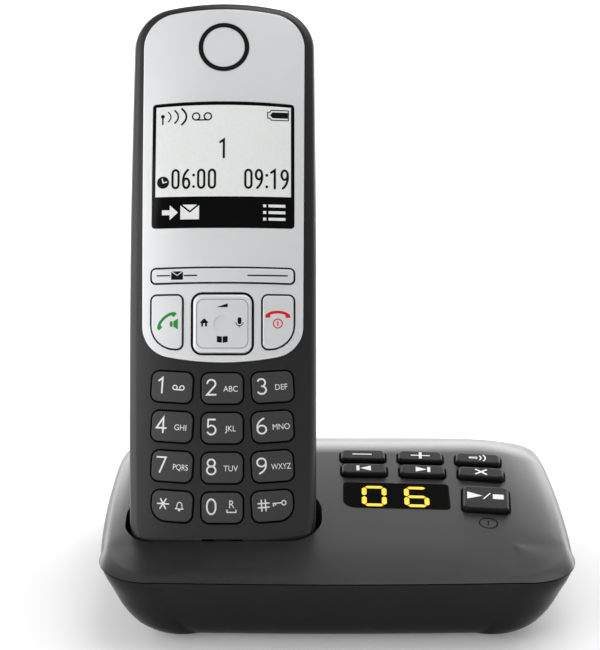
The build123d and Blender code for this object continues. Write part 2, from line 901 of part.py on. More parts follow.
# ---------------------------------------------------------------- handset inside
board_middle = (handset_board_low + handset_board_high) / 2
with BuildPart() as handset_board:
    with BuildSketch(Plane.XY.offset(handset_board_bottom)):
        with Locations((0, board_middle)):
            RectangleRounded(2 * handset_board_half_width, handset_board_high - handset_board_low, 2)
    extrude(amount=handset_board_thickness)
save_handset(handset_board.part, "handset_board")

mat_low = number_first_row - number_opening_height / 2
mat_high = softkey_top + 1
with BuildPart() as keypad_mat:
    with BuildSketch(Plane.XY.offset(board_top)):
        with Locations((0, (mat_low + mat_high) / 2)):
            Rectangle(2 * command_outer, mat_high - mat_low)
        with Locations((0, pad_middle)):
            Rectangle(bracket_side + 2 * trim_gap, bracket_side + 2 * trim_gap, mode=Mode.SUBTRACT)
    extrude(amount=handset_mat)
    with BuildSketch(Plane.XY.offset(board_top + handset_mat)):
        with Locations([number_place(row, column) for label, row, column in number_keys]):
            Circle(handset_dome_radius)
        with Locations((0, (command_bottom + command_top) / 2)):
            with GridLocations(command_inner + command_outer, 1, 2, 1):
                Circle(handset_dome_radius)
        with Locations((0, (softkey_bottom + softkey_top) / 2)):
            with GridLocations(2 * softkey_plunger_x, 1, 2, 1):
                Circle(handset_dome_radius)
        with Locations((0, pad_middle)):
            with GridLocations(2 * pad_dome_reach, 1, 2, 1):
                Circle(pad_dome_radius)
            with GridLocations(1, 2 * pad_dome_reach, 1, 2):
                Circle(pad_dome_radius)
    extrude(amount=handset_dome)
save_handset(keypad_mat.part, "keypad_mat")

earpiece_roof = front_face - sag(front_along_radius, earpiece_height - handset_middle) - handset_wall
earpiece_roof -= sag(front_across_radius, earpiece_speaker_radius) + 0.75
with BuildPart() as earpiece_speaker:
    with BuildSketch(Plane.XY.offset(earpiece_roof)):
        with Locations((0, earpiece_height)):
            Circle(earpiece_speaker_radius)
    extrude(amount=-earpiece_speaker_height / 2)
    with BuildSketch(Plane.XY.offset(earpiece_roof)):
        with Locations((0, earpiece_height)):
            Circle(earpiece_speaker_radius / 2)
    extrude(amount=-earpiece_speaker_height)
save_handset(earpiece_speaker.part, "earpiece_speaker")

microphone_roof = front_face - sag(front_along_radius, microphone_height - handset_middle) - handset_wall
with BuildPart() as microphone:
    with BuildSketch(Plane.XY.offset(microphone_roof - under_shell_gap)):
        with Locations((0, microphone_height)):
            Circle(microphone_radius)
    extrude(amount=-microphone_length)
save_handset(microphone.part, "microphone")

ringer_floor = back_face + handset_wall + sag(back_along_radius, ringer_height - handset_middle)
ringer_floor += sag(back_across_radius, ringer_radius) + 0.2
with BuildPart() as ringer_speaker:
    with BuildSketch(Plane.XY.offset(ringer_floor)):
        with Locations((0, ringer_height)):
            Circle(ringer_radius)
    extrude(amount=ringer_thickness / 2)
    with BuildSketch(Plane.XY.offset(ringer_floor)):
        with Locations((0, ringer_height)):
            Circle(ringer_radius / 2)
    extrude(amount=ringer_thickness)
save_handset(ringer_speaker.part, "ringer_speaker")

# ---------------------------------------------------------------- batteries
cell_x = cell_radius + cell_gap / 2
for label, side in [("battery_cell_left", -1), ("battery_cell_right", 1)]:
    with BuildPart() as cell:
        with Locations((side * cell_x, cell_middle, cell_level)):
            Cylinder(cell_radius, cell_length - cell_nub, rotation=(90, 0, 0))
            fillet(cell.edges().filter_by(GeomType.CIRCLE), radius=cell_gap)
        with Locations((side * cell_x, cell_middle + side * cell_nub / 2, cell_level)):
            Cylinder(cell_radius / 2, cell_length, rotation=(90, 0, 0))
    save_handset(cell.part, label)

tray_inner_half = cell_x + cell_radius + tray_side_gap
tray_inner_length = cell_length + 2 * (cell_end_cap + trim_gap) + cell_nub
tray_roof = cell_level + cell_radius + trim_gap
tray_rim = back_face + cover_thickness + sag(back_across_radius, tray_inner_half + tray_wall) + 0.6
with BuildPart() as battery_tray:
    with BuildSketch(Plane.XY.offset(tray_roof + tray_wall)):
        with Locations((0, cell_middle)):
            Rectangle(2 * (tray_inner_half + tray_wall), tray_inner_length + 2 * tray_wall)
    extrude(amount=tray_rim - tray_roof - tray_wall)
    with BuildSketch(Plane.XY.offset(tray_roof)):
        with Locations((0, cell_middle)):
            Rectangle(2 * tray_inner_half, tray_inner_length)
    extrude(amount=2 * back_face, mode=Mode.SUBTRACT)
save_handset(battery_tray.part, "battery_tray")

with BuildPart() as battery_contacts:
    with Locations((0, cell_middle, cell_level)):
        with GridLocations(2 * cell_x, tray_inner_length - cell_end_cap, 2, 2):
            Box(cell_radius * 1.4, cell_end_cap, cell_radius * 1.4)
save_handset(battery_contacts.part, "battery_contacts")

with BuildPart() as charge_pads:
    with Locations((0, pad_low + pad_thickness / 2, contact_row)):
        with GridLocations(contact_spacing, 1, 2, 1):
            Box(pad_width, pad_thickness, pad_depth)
save_handset(charge_pads.part, "charge_pads")

with BuildPart() as handset_screws:
    with BuildSketch(Plane.XY.offset(handset_screw_seat)):
        with Locations(handset_screw_places):
            Circle(handset_screw_head)
    extrude(amount=-handset_screw_head_height)
    with BuildSketch(Plane.XY.offset(handset_screw_seat)):
        with Locations(handset_screw_places):
            Circle(handset_screw_radius)
    extrude(amount=handset_screw_tip - handset_screw_seat)
    with BuildSketch(Plane.XY.offset(handset_screw_seat - handset_screw_head_height)):
        with Locations(handset_screw_places):
            Rectangle(2 * handset_screw_radius, screw_slot)
            Rectangle(screw_slot, 2 * handset_screw_radius)
    extrude(amount=handset_screw_head_height / 2, mode=Mode.SUBTRACT)
save_handset(handset_screws.part, "handset_screws")

# ================================================================ base top shell
left_column = key_column - key_column_pitch
right_column = key_column + key_column_pitch
small_keys = [
    ("volume_down_key", left_column, back_key_row),
    ("volume_up_key", key_column, back_key_row),
    ("paging_key", right_column, back_key_row),
    ("skip_back_key", left_column, front_key_row),
    ("skip_forward_key", key_column, front_key_row),
    ("delete_key", right_column, front_key_row),
]
base_keys = [
    (label, control_seat(x, row), small_key_width, small_key_depth) for label, x, row in small_keys
]
play_seat = control_seat(play_key_x, play_key_row)
base_keys.append(("play_stop_key", play_seat, play_key_width, play_key_depth))
window_seat = control_seat(window_x, window_row)
board_plane = CROWN.offset(-board_drop)
board_middle_x = (base_board_left + base_board_right) / 2
board_middle_y = (base_board_front + base_board_back) / 2
board_width = base_board_right - base_board_left
board_length = base_board_back - base_board_front


def well_body(grow):
    """Solid that fills the charging well, with its end rounded like the handset's."""
    half = handset_width / 2 + well_side_gap + grow
    floor = -well_floor_gap - grow
    corner_y = floor + sag(handset_end_radius, half)
    with BuildPart() as well:
        with BuildSketch(Plane.XY.offset(well_back - grow)):
            with BuildLine():
                ThreePointArc((-half, corner_y), (0, floor), (half, corner_y))
                Polyline((half, corner_y), (half, lift_height), (-half, lift_height), (-half, corner_y))
            make_face()
        extrude(amount=well_front - well_back + 2 * grow)
        low_edges = well.edges().filter_by(Axis.Z).group_by(Axis.Y)[0]
        fillet(low_edges, radius=handset_bottom_corner + well_floor_gap + grow)
        with BuildSketch(Plane.XZ.offset(-2 * lift_height)):
            with Locations((0, (well_front + well_back) / 2)):
                RectangleRounded(2 * half, well_front - well_back + 2 * grow, well_corner + grow)
        extrude(amount=4 * lift_height, mode=Mode.INTERSECT)
    return well.part.moved(HANDSET.location)


def contact_rods(radius, low, high):
    """A pair of round rods along the contacts' line of travel, in the handset's frame."""
    with BuildPart() as rods:
        with Locations((0, (low + high) / 2, contact_row)):
            with GridLocations(contact_spacing, 1, 2, 1):
                Cylinder(radius, high - low, rotation=(90, 0, 0))
    return rods.part.moved(HANDSET.location)


top_outer = top_body(0)
with BuildPart() as top_ribs:
    with BuildSketch(Plane.XY.offset(boss_joint_height)):
        with Locations(screw_places):
            Circle(boss_radius)
    extrude(amount=base_half_width)
    with BuildSketch(board_plane):
        with Locations((board_middle_x, board_middle_y)):
            with GridLocations(board_width - 2 * post_inset, board_length - 2 * post_inset, 2, 2):
                Circle(post_radius)
    extrude(amount=board_drop + crown_rise)
    add(well_body(well_wall))
with BuildPart() as rib_limit:
    add(top_body(base_wall / 2))
    with BuildSketch():
        add(base_outline(Plane.XY, base_wall / 2, base_wall / 2, base_wall / 2, base_corner))
    extrude(amount=seam_height)


def window_outline(grow, plane):
    """Message window; its corner nearest the handset is more round."""
    with BuildSketch(plane) as outline:
        Rectangle(window_width + 2 * grow, window_depth + 2 * grow)
        corner = max(window_corner + grow, trim_gap)
        round_corners(outline, -1, corner, window_front_corner + grow)
    return outline.sketch


well_floor_back = -well_floor_gap - well_wall
with BuildPart() as base_top_shell:
    add(top_outer)
    add(top_body(base_wall), mode=Mode.SUBTRACT)
    add(top_ribs.part.intersect(rib_limit.part))
    add(well_body(0), mode=Mode.SUBTRACT)
    add(contact_rods(contact_radius + contact_guide_gap, 2 * well_floor_back, 1), mode=Mode.SUBTRACT)
    for label, seat, width, depth in base_keys:
        opening_width = width + 2 * base_key_gap
        opening_depth = depth + 2 * base_key_gap
        with BuildSketch(seat.offset(-base_wall - under_shell_gap)):
            RectangleRounded(opening_width, opening_depth, base_key_corner)
        extrude(amount=board_drop, mode=Mode.SUBTRACT)
        with BuildSketch(seat.offset(-base_wall)):
            RectangleRounded(opening_width + 2 * key_room, opening_depth + 2 * key_room, base_key_corner)
        extrude(amount=-board_drop / 2, mode=Mode.SUBTRACT)
    recess = window_outline(trim_gap, window_seat.offset(-window_thickness))
    extrude(recess, amount=board_drop, mode=Mode.SUBTRACT)
    way_through = window_outline(-window_ledge, window_seat.offset(-base_wall - under_shell_gap))
    extrude(way_through, amount=board_drop, mode=Mode.SUBTRACT)
    with BuildSketch():
        with Locations(screw_places):
            Circle(screw_radius + screw_clearance)
    extrude(amount=screw_seat + screw_length + under_shell_gap, mode=Mode.SUBTRACT)
save(base_top_shell.part, "base_top_shell")

# ---------------------------------------------------------------- base bottom shell
base_floor = underside_height + base_wall
power_jack_z = base_floor + jack_floor_gap + power_jack_height / 2
line_jack_z = base_floor + jack_floor_gap + line_jack_height / 2
with BuildPart() as bottom_ribs:
    with BuildSketch(Plane.XY.offset(underside_height)):
        with Locations(screw_places):
            Circle(boss_radius + pillar_extra)
    extrude(amount=boss_joint_height - underside_height)
    with BuildSketch(Plane.XY.offset(underside_height)):
        with Locations((speaker_x, speaker_y)):
            Circle(speaker_radius + trim_gap + speaker_ring_wall)
            Circle(speaker_radius + trim_gap, mode=Mode.SUBTRACT)
    extrude(amount=base_wall + speaker_ring_height)

with BuildPart() as base_bottom_shell:
    add(bowl_body(0))
    add(bowl_body(base_wall), mode=Mode.SUBTRACT)
    add(bottom_ribs.part.intersect(bowl_body(base_wall / 2)))
    with BuildSketch(Plane.XY):
        with Locations(screw_places):
            Circle(screw_radius + screw_clearance)
    extrude(amount=seam_height, mode=Mode.SUBTRACT)
    with BuildSketch(Plane.XY):
        with Locations(screw_places):
            Circle(screw_head_radius + screw_clearance)
    extrude(amount=screw_seat, mode=Mode.SUBTRACT)
    with BuildSketch(Plane.XY):
        with GridLocations(2 * foot_x, 2 * foot_y, 2, 2):
            Circle(foot_radius + trim_gap)
    extrude(amount=underside_height + foot_recess, mode=Mode.SUBTRACT)
    with BuildSketch(Plane.XY):
        for slot in range(grille_slots):
            across = (slot - (grille_slots - 1) / 2) * grille_slot_pitch
            with Locations((speaker_x, speaker_y + across)):
                SlotOverall(2 * sqrt((0.85 * speaker_radius) ** 2 - across**2), grille_slot_width)
    extrude(amount=base_floor + 1, mode=Mode.SUBTRACT)
    for x, z, width, height in [
        (power_jack_x, power_jack_z, power_jack_width, power_jack_height),
        (line_jack_x, line_jack_z, line_jack_width, line_jack_height),
    ]:
        with BuildSketch(Plane.XZ.offset(-base_half_depth)):
            with Locations((x, z)):
                Rectangle(width + 2 * trim_gap, height + 2 * trim_gap)
        extrude(amount=base_half_depth / 3, mode=Mode.SUBTRACT)
save(base_bottom_shell.part, "base_bottom_shell")

with BuildPart() as rubber_feet:
    with BuildSketch(Plane.XY):
        with GridLocations(2 * foot_x, 2 * foot_y, 2, 2):
            Circle(foot_radius)
    extrude(amount=underside_height + foot_recess)
    fillet(rubber_feet.edges().group_by(Axis.Z)[0], radius=foot_edge)
save(rubber_feet.part, "rubber_feet")

with BuildPart() as base_screws:
    with BuildSketch(Plane.XY.offset(screw_seat - screw_head_height)):
        with Locations(screw_places):
            Circle(screw_head_radius)
    extrude(amount=screw_head_height)
    with BuildSketch(Plane.XY.offset(screw_seat)):
        with Locations(screw_places):
            Circle(screw_radius)
    extrude(amount=screw_length)
    with BuildSketch(Plane.XY.offset(screw_seat - screw_head_height)):
        with Locations(screw_places):
            Rectangle(3 * screw_slot, screw_slot)
            Rectangle(screw_slot, 3 * screw_slot)
    extrude(amount=screw_head_height / 2, mode=Mode.SUBTRACT)
save(base_screws.part, "base_screws")

# ---------------------------------------------------------------- base window and keys
with BuildPart() as message_window:
    extrude(window_outline(0, window_seat.offset(-window_thickness)), amount=board_drop)
    add(under_crown(0), mode=Mode.INTERSECT)
save(message_window.part, "message_window")


def on_board(seat):
    """Place on the circuit board straight under a control, turned like it."""
    return CROWN.location.inverse() * seat.location


led_height = board_drop - window_thickness - led_gap
with BuildPart() as led_display:
    with BuildSketch(board_plane):
        with Locations(on_board(window_seat)):
            Rectangle(led_width, led_depth)
    extrude(amount=led_height)
save(led_display.part, "led_display")


def base_key(seat, width, depth):
    """Key with a rounded cap, a rim that the shell holds in, and a plunger over its dome."""
    rim_top = base_wall + under_shell_gap
    rim_grow = base_key_gap + key_rim
    reach = board_drop - mat_thickness - dome_height - press_gap
    with BuildPart() as key:
        with BuildSketch(seat.offset(-rim_top)):
            RectangleRounded(width, depth, base_key_corner)
        extrude(amount=rim_top + base_key_proud)
        top = key.faces().sort_by(Axis(seat.origin, seat.z_dir))[-1]
        fillet(top.edges(), radius=base_key_round)
        with BuildSketch(seat.offset(-rim_top - key_rim_thickness)):
            RectangleRounded(width + 2 * rim_grow, depth + 2 * rim_grow, base_key_corner + rim_grow)
        extrude(amount=key_rim_thickness)
        with BuildSketch(seat.offset(-reach)):
            Rectangle(plunger_side, plunger_side)
        extrude(amount=reach - rim_top)
    return key.part


for label, seat, width, depth in base_keys:
    save(base_key(seat, width, depth), label)

# ---------------------------------------------------------------- base inside
with BuildPart() as base_board:
    with BuildSketch(board_plane):
        with Locations((board_middle_x, board_middle_y)):
            RectangleRounded(board_width, board_length, post_radius)
    extrude(amount=-board_thickness)
save(base_board.part, "base_board")

with BuildPart() as base_key_mat:
    with BuildSketch(board_plane):
        with Locations((board_middle_x, (mat_front + mat_back) / 2)):
            Rectangle(board_width - 2 * mat_side, mat_back - mat_front)
        with Locations(on_board(window_seat)):
            Rectangle(led_width + 2 * trim_gap, led_depth + 2 * trim_gap, mode=Mode.SUBTRACT)
    extrude(amount=mat_thickness)
    with BuildSketch(board_plane):
        with Locations([on_board(seat) for label, seat, width, depth in base_keys]):
            Circle(dome_radius)
    extrude(amount=mat_thickness + dome_height)
save(base_key_mat.part, "base_key_mat")

with BuildPart() as base_speaker:
    with BuildSketch(Plane.XZ):
        with BuildLine():
            Polyline(
                (0, base_floor + 2 * speaker_rim_height),
                (speaker_radius - 2, base_floor + speaker_rim_height / 2),
                (speaker_radius - 2, base_floor),
                (speaker_radius, base_floor),
                (speaker_radius, base_floor + speaker_rim_height),
                (magnet_radius, base_floor + speaker_height - magnet_height),
                (magnet_radius, base_floor + speaker_height),
                (0, base_floor + speaker_height),
                (0, base_floor + 2 * speaker_rim_height),
            )
        make_face()
    revolve(axis=Axis.Z)
save(base_speaker.part.moved(Location((speaker_x, speaker_y, 0))), "base_speaker")

with BuildPart() as power_jack:
    with Locations((power_jack_x, jack_back - power_jack_length / 2, power_jack_z)):
        Box(power_jack_width, power_jack_length, power_jack_height)
    with BuildSketch(Plane.XZ.offset(-jack_back)):
        with Locations((power_jack_x, power_jack_z)):
            Circle(power_socket_radius)
            Circle(power_pin_radius, mode=Mode.SUBTRACT)
    extrude(amount=power_socket_depth, mode=Mode.SUBTRACT)
save(power_jack.part, "power_jack")

with BuildPart() as line_jack:
    with Locations((line_jack_x, jack_back - line_jack_length / 2, line_jack_z)):
        Box(line_jack_width, line_jack_length, line_jack_height)
    with BuildSketch(Plane.XZ.offset(-jack_back)):
        with Locations((line_jack_x, line_jack_z)):
            Rectangle(line_socket_width, line_socket_height)
            with Locations((0, -(line_socket_height + latch_height) / 2)):
                Rectangle(latch_width, latch_height)
    extrude(amount=line_socket_depth, mode=Mode.SUBTRACT)
save(line_jack.part, "line_jack")

# ---------------------------------------------------------------- charging contacts
collar_top = well_floor_back - contact_gap
collar_low = collar_top - contact_collar_height
pin_low = collar_low - contact_travel - contact_gap
for label, side in [("charge_contact_left", -1), ("charge_contact_right", 1)]:
    with BuildPart() as contact:
        with Locations((side * contact_spacing / 2, (contact_tip + pin_low) / 2, contact_row)):
            Cylinder(contact_radius, contact_tip - pin_low, rotation=(90, 0, 0))
        fillet(contact.edges().group_by(Axis.Y)[-1], radius=contact_radius / 2)
        with Locations((side * contact_spacing / 2, (collar_top + collar_low) / 2, contact_row)):
            Cylinder(contact_collar, contact_collar_height, rotation=(90, 0, 0))
    save_handset(contact.part, label)

with BuildPart() as contact_holder:
    with Locations((0, well_floor_back - holder_depth / 2, (holder_front + holder_back) / 2)):
        Box(2 * holder_half_width, holder_depth, holder_front - holder_back)
holder_low = well_floor_back - holder_depth
chamber_low = collar_low - contact_travel - contact_guide_gap
holder = contact_holder.part.moved(HANDSET.location)
with BuildPart() as contact_holder:
    add(holder)
    add(well_body(well_wall), mode=Mode.SUBTRACT)
    add(contact_rods(contact_collar + contact_guide_gap, chamber_low, 0), mode=Mode.SUBTRACT)
    add(contact_rods(contact_radius + contact_guide_gap, 2 * holder_low, 0), mode=Mode.SUBTRACT)
save(contact_holder.part, "contact_holder")
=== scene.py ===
"""Looks of the answering machine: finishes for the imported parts, printed legends, display and lamps."""
import json
from math import asin, atan2, cos, degrees, hypot, pi, radians, sin, sqrt, tan

import bmesh
import bpy
import numpy as np
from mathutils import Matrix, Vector


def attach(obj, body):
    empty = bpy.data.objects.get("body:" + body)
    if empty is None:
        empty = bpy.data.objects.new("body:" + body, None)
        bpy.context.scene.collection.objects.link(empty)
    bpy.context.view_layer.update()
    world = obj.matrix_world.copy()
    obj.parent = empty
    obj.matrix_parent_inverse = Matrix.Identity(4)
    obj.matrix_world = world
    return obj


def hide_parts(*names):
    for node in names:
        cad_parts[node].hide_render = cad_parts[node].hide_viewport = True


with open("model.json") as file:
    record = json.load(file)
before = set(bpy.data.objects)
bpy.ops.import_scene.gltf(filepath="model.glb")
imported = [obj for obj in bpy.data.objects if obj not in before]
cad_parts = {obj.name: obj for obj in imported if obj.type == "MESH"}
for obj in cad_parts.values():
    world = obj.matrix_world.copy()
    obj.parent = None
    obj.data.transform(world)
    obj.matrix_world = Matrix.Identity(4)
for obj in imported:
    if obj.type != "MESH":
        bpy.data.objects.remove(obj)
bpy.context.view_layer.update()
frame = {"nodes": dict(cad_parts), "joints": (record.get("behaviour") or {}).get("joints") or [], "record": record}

MM = 0.001
NODES = frame["nodes"]
JOINTS = {joint["name"]: joint for joint in frame["joints"]}

# ---------------------------------------------------------------- the handset's own frame
# Sizes below are in millimetres: x to the right, v up along the handset, n out of its face.
ACROSS = Vector((1, 0, 0))
UP = Vector(JOINTS["handset_lift"]["axis"]).normalized()
OUT = -Vector(JOINTS["key_5_press"]["axis"]).normalized()
PAD_MIDDLE = 65.2
PAD_PIVOT_LEVEL = 4.8
HANDSET = Vector(JOINTS["nav_tilt_sideways"]["pos_m"]) - (UP * PAD_MIDDLE + OUT * PAD_PIVOT_LEVEL) * MM

FACE_MIDDLE = 75
FACE_CREST = 11
FACE_ACROSS_RADIUS = 100
FACE_ALONG_RADIUS = 580
PLATE_PROUD = 0.35
KEY_PROUD = 0.45
LENS_PROUD = 0.3
INK = 0.02                      # prints, and sheets of painted shade, lie this far above what carries them


def sag(radius, half_chord):
    """How far an arc falls below its crest at this distance from the middle."""
    return radius - sqrt(radius**2 - half_chord**2)


def on_handset(x, v, n):
    """Point of the handset, in metres in the frame."""
    return HANDSET + (ACROSS * x + UP * v + OUT * n) * MM


def face_level(x, v, level):
    """Level of the handset's crowned face, moved outwards by level."""
    radius = FACE_ACROSS_RADIUS + level - sag(FACE_ALONG_RADIUS + level, v - FACE_MIDDLE)
    return FACE_CREST - FACE_ACROSS_RADIUS + sqrt(radius**2 - x**2)


def on_face(level):
    """Mapping of (x, v) on to the handset's face."""
    return lambda x, v: on_handset(x, v, face_level(x, v, level))


# ---------------------------------------------------------------- the base's crown
CROWN_HEIGHT = 27.25
CROWN_SLOPE = radians(9)
CONTROL_ARC = 400               # keys and window follow wide arcs, each turned with its own arc


def on_crown(level):
    """Mapping of a point (x, y) along the flat crown of the base, moved outwards by level."""
    def place(x, y):
        deep = y * cos(CROWN_SLOPE) - level * sin(CROWN_SLOPE)
        high = y * sin(CROWN_SLOPE) + level * cos(CROWN_SLOPE)
        return Vector((x, deep, CROWN_HEIGHT + high)) * MM
    return place


def control_seat(x, row):
    """Placing of a drawing on a control of the base: its middle, turned with its arc."""
    return turned(x, row - sag(CONTROL_ARC, x), -degrees(asin(x / CONTROL_ARC)))


def add_object(name, data):
    """New object in the scene."""
    piece = bpy.data.objects.new(name, data)
    bpy.context.scene.collection.objects.link(piece)
    return piece


# ---------------------------------------------------------------- materials
def new_material(name):
    """A material with its nodes, its links and its main shader."""
    material = bpy.data.materials.new(name)
    material.use_nodes = True
    tree = material.node_tree
    return material, tree.nodes, tree.links, tree.nodes["Principled BSDF"]


def noise(nodes, links, scale, detail=2.0, stretch=(1, 1, 1)):
    """Noise in the object's own space; the scale is in features per metre."""
    where = nodes.new("ShaderNodeTexCoord")
    mapping = nodes.new("ShaderNodeMapping")
    mapping.inputs["Scale"].default_value = stretch
    texture = nodes.new("ShaderNodeTexNoise")
    texture.inputs["Scale"].default_value = scale
    texture.inputs["Detail"].default_value = detail
    links.new(where.outputs["Object"], mapping.inputs["Vector"])
    links.new(mapping.outputs["Vector"], texture.inputs["Vector"])
    return texture.outputs["Fac"]


def between(nodes, links, factor, low, high):
    """Map a 0 to 1 factor, most of which lies round the middle, on to a range."""
    spread = nodes.new("ShaderNodeMapRange")
    spread.inputs["From Min"].default_value = 0.3
    spread.inputs["From Max"].default_value = 0.7
    spread.inputs["To Min"].default_value = low
    spread.inputs["To Max"].default_value = high
    links.new(factor, spread.inputs["Value"])
    return spread.outputs["Result"]


def tint(nodes, links, factor, colour, change):
    """Colour that wanders a little to both sides of its value."""
    mix = nodes.new("ShaderNodeMix")
    mix.data_type = "RGBA"
    mix.inputs[6].default_value = [c * (1 - change) for c in colour] + [1]
    mix.inputs[7].default_value = [min(1, c * (1 + change)) for c in colour] + [1]
    links.new(between(nodes, links, factor, 0, 1), mix.inputs["Factor"])
    return mix.outputs[2]


def grain(nodes, links, factor, shader, depth):
    """Surface texture of this depth in millimetres."""
    bump = nodes.new("ShaderNodeBump")
    bump.inputs["Strength"].default_value = 1.0
    bump.inputs["Distance"].default_value = depth * MM
    links.new(factor, bump.inputs["Height"])
    links.new(bump.outputs["Normal"], shader.inputs["Normal"])


def plastic(name, colour, roughness, grain_depth=0.002, grain_size=0.35, change=0.06, specular=0.5,
            metallic=0.0):
    """Moulded or painted plastic: fine spark-eroded grain and a slight drift in colour and gloss."""
    material, nodes, links, shader = new_material(name)
    drift = noise(nodes, links, 60)
    fine = noise(nodes, links, 1 / (grain_size * MM), detail=3.0)
    links.new(tint(nodes, links, drift, colour, change), shader.inputs["Base Color"])
    links.new(between(nodes, links, fine, roughness * 0.92, roughness * 1.08), shader.inputs["Roughness"])
    grain(nodes, links, fine, shader, grain_depth)
    shader.inputs["Specular IOR Level"].default_value = specular
    shader.inputs["Metallic"].default_value = metallic
    return material


def metal(name, colour, roughness):
    """Plated metal with fine brush marks."""
    material, nodes, links, shader = new_material(name)
    marks = noise(nodes, links, 900, detail=4.0, stretch=(1, 1, 8))
    links.new(tint(nodes, links, marks, colour, 0.1), shader.inputs["Base Color"])
    links.new(between(nodes, links, marks, roughness * 0.7, roughness * 1.3), shader.inputs["Roughness"])
    grain(nodes, links, marks, shader, 0.003)
    shader.inputs["Metallic"].default_value = 1.0
    return material


def flat_print_or_shade(name, colour, roughness=0.45, specular=0.5):
    """Flat print colour for legends, or painted shade laid in narrow gaps, with a slight unevenness."""
    material, nodes, links, shader = new_material(name)
    blot = noise(nodes, links, 1500)
    links.new(tint(nodes, links, blot, colour, 0.02), shader.inputs["Base Color"])
    shader.inputs["Roughness"].default_value = roughness
    shader.inputs["Specular IOR Level"].default_value = specular
    return material


def lamp(name, colour, strength):
    """Lit segment of the message display, slightly uneven."""
    material, nodes, links, shader = new_material(name)
    glow = noise(nodes, links, 2500)
    links.new(tint(nodes, links, glow, colour, 0.08), shader.inputs["Emission Color"])
    shader.inputs["Emission Strength"].default_value = strength
    shader.inputs["Base Color"].default_value = (0.2, 0.15, 0.0, 1)
    return material


def speaker_paper(name, colour, change, roughness):
    """Rough black finish of the speakers."""
    material, nodes, links, shader = new_material(name)
    texture = noise(nodes, links, 700, detail=5.0)
    links.new(tint(nodes, links, texture, colour, change), shader.inputs["Base Color"])
    shader.inputs["Roughness"].default_value = roughness
    grain(nodes, links, texture, shader, 0.02)
    return material


MATERIALS = {
    "graphite_shell": plastic("graphite_shell", (0.0135, 0.0135, 0.0142), 0.33, specular=0.44),
    "dark_shell": plastic("dark_shell", (0.006, 0.006, 0.0065), 0.3, specular=0.2),
    "silver_paint": plastic("silver_paint", (0.82, 0.83, 0.84), 0.38, 0.002, 0.12, 0.02, metallic=0.25),
    "clear_window": plastic("clear_window", (0.003, 0.003, 0.003), 0.08, 0.0005, 2, specular=0.12),
    "display_glass": plastic("display_glass", (0.83, 0.85, 0.84), 0.2, 0.0005, 1, 0.01),
    "handset_keys": plastic("handset_keys", (0.043, 0.043, 0.0445), 0.42, specular=0.4),
    "silver_keys": plastic("silver_keys", (0.82, 0.83, 0.84), 0.34, 0.002, 0.12, 0.02, metallic=0.25),
    "base_keys": plastic("base_keys", (0.0085, 0.0085, 0.0089), 0.44, specular=0.1),
    "black_trim": plastic("black_trim", (0.004, 0.004, 0.004), 0.12, 0.0005, 1),
    "smoked_window": plastic("smoked_window", (0.003, 0.0027, 0.0024), 0.06, 0.0005, 2, specular=0.03),
    "led_module": plastic("led_module", (0.012, 0.012, 0.012), 0.5),
    "rubber": plastic("rubber", (0.02, 0.02, 0.02), 0.75, 0.02, 0.5),
    "silicone": plastic("silicone", (0.03, 0.03, 0.032), 0.5, 0.006, 0.6),
    "steel": metal("steel", (0.6, 0.6, 0.61), 0.32),
    "gold_contact": metal("gold_contact", (0.9, 0.68, 0.28), 0.25),
    "board": plastic("board", (0.01, 0.10, 0.035), 0.35, 0.01, 0.8, 0.15),
    "black_nylon": plastic("black_nylon", (0.016, 0.016, 0.016), 0.5),
    "white_nylon": plastic("white_nylon", (0.68, 0.68, 0.66), 0.5),
    "cell_wrap": plastic("cell_wrap", (0.02, 0.2, 0.08), 0.25, 0.003, 1.0),
    "speaker_frame": speaker_paper("speaker_frame", (0.03, 0.03, 0.03), 0.3, 0.6),
}
WHITE_INK = flat_print_or_shade("white_ink", (0.84, 0.84, 0.84))
# Painted shade: near-black laid in the narrow gaps round the keys, round the window and between the shells, where
# those gaps fall in shade.
PAINTED_GAP_SHADE = flat_print_or_shade("painted_gap_shade", (0.0015, 0.0015, 0.0015), 0.7, 0.05)
BLACK_INK = flat_print_or_shade("black_ink", (0.005, 0.005, 0.005), 0.4, 0.12)
# Painted shade: grey for the line along the nav pad's shaded bevel.
BEVEL_SHADE_GREY = flat_print_or_shade("painted_bevel_shade", (0.16, 0.16, 0.17), 0.5, 0.3)
DARK_INK = flat_print_or_shade("dark_ink", (0.004, 0.004, 0.004), 0.6, 0.08)
GREEN_INK = flat_print_or_shade("green_ink", (0.0, 0.27, 0.03))
RED_INK = flat_print_or_shade("red_ink", (0.72, 0.0, 0.012))
PALE_PANEL = flat_print_or_shade("pale_panel", (0.86, 0.88, 0.865), 0.12)
AMBER = lamp("amber_segment", (1.0, 0.66, 0.005), 1.0)

slots = {row["node"]: row["material_slot"] for row in frame["record"]["subparts"]}
for node, piece in NODES.items():
    piece.data.materials.clear()
    piece.data.materials.append(MATERIALS[slots[node]])


# ---------------------------------------------------------------- flat drawings
LONGEST_STEP = 1.0
LEAST_MITRE = 0.35              # keeps the corners of a stroke from running far out
CAPITAL_SHARE = 0.729           # height of the capitals, as a share of the lettering's size
CORNER_STEPS = 6
SIDE_STEPS = 12


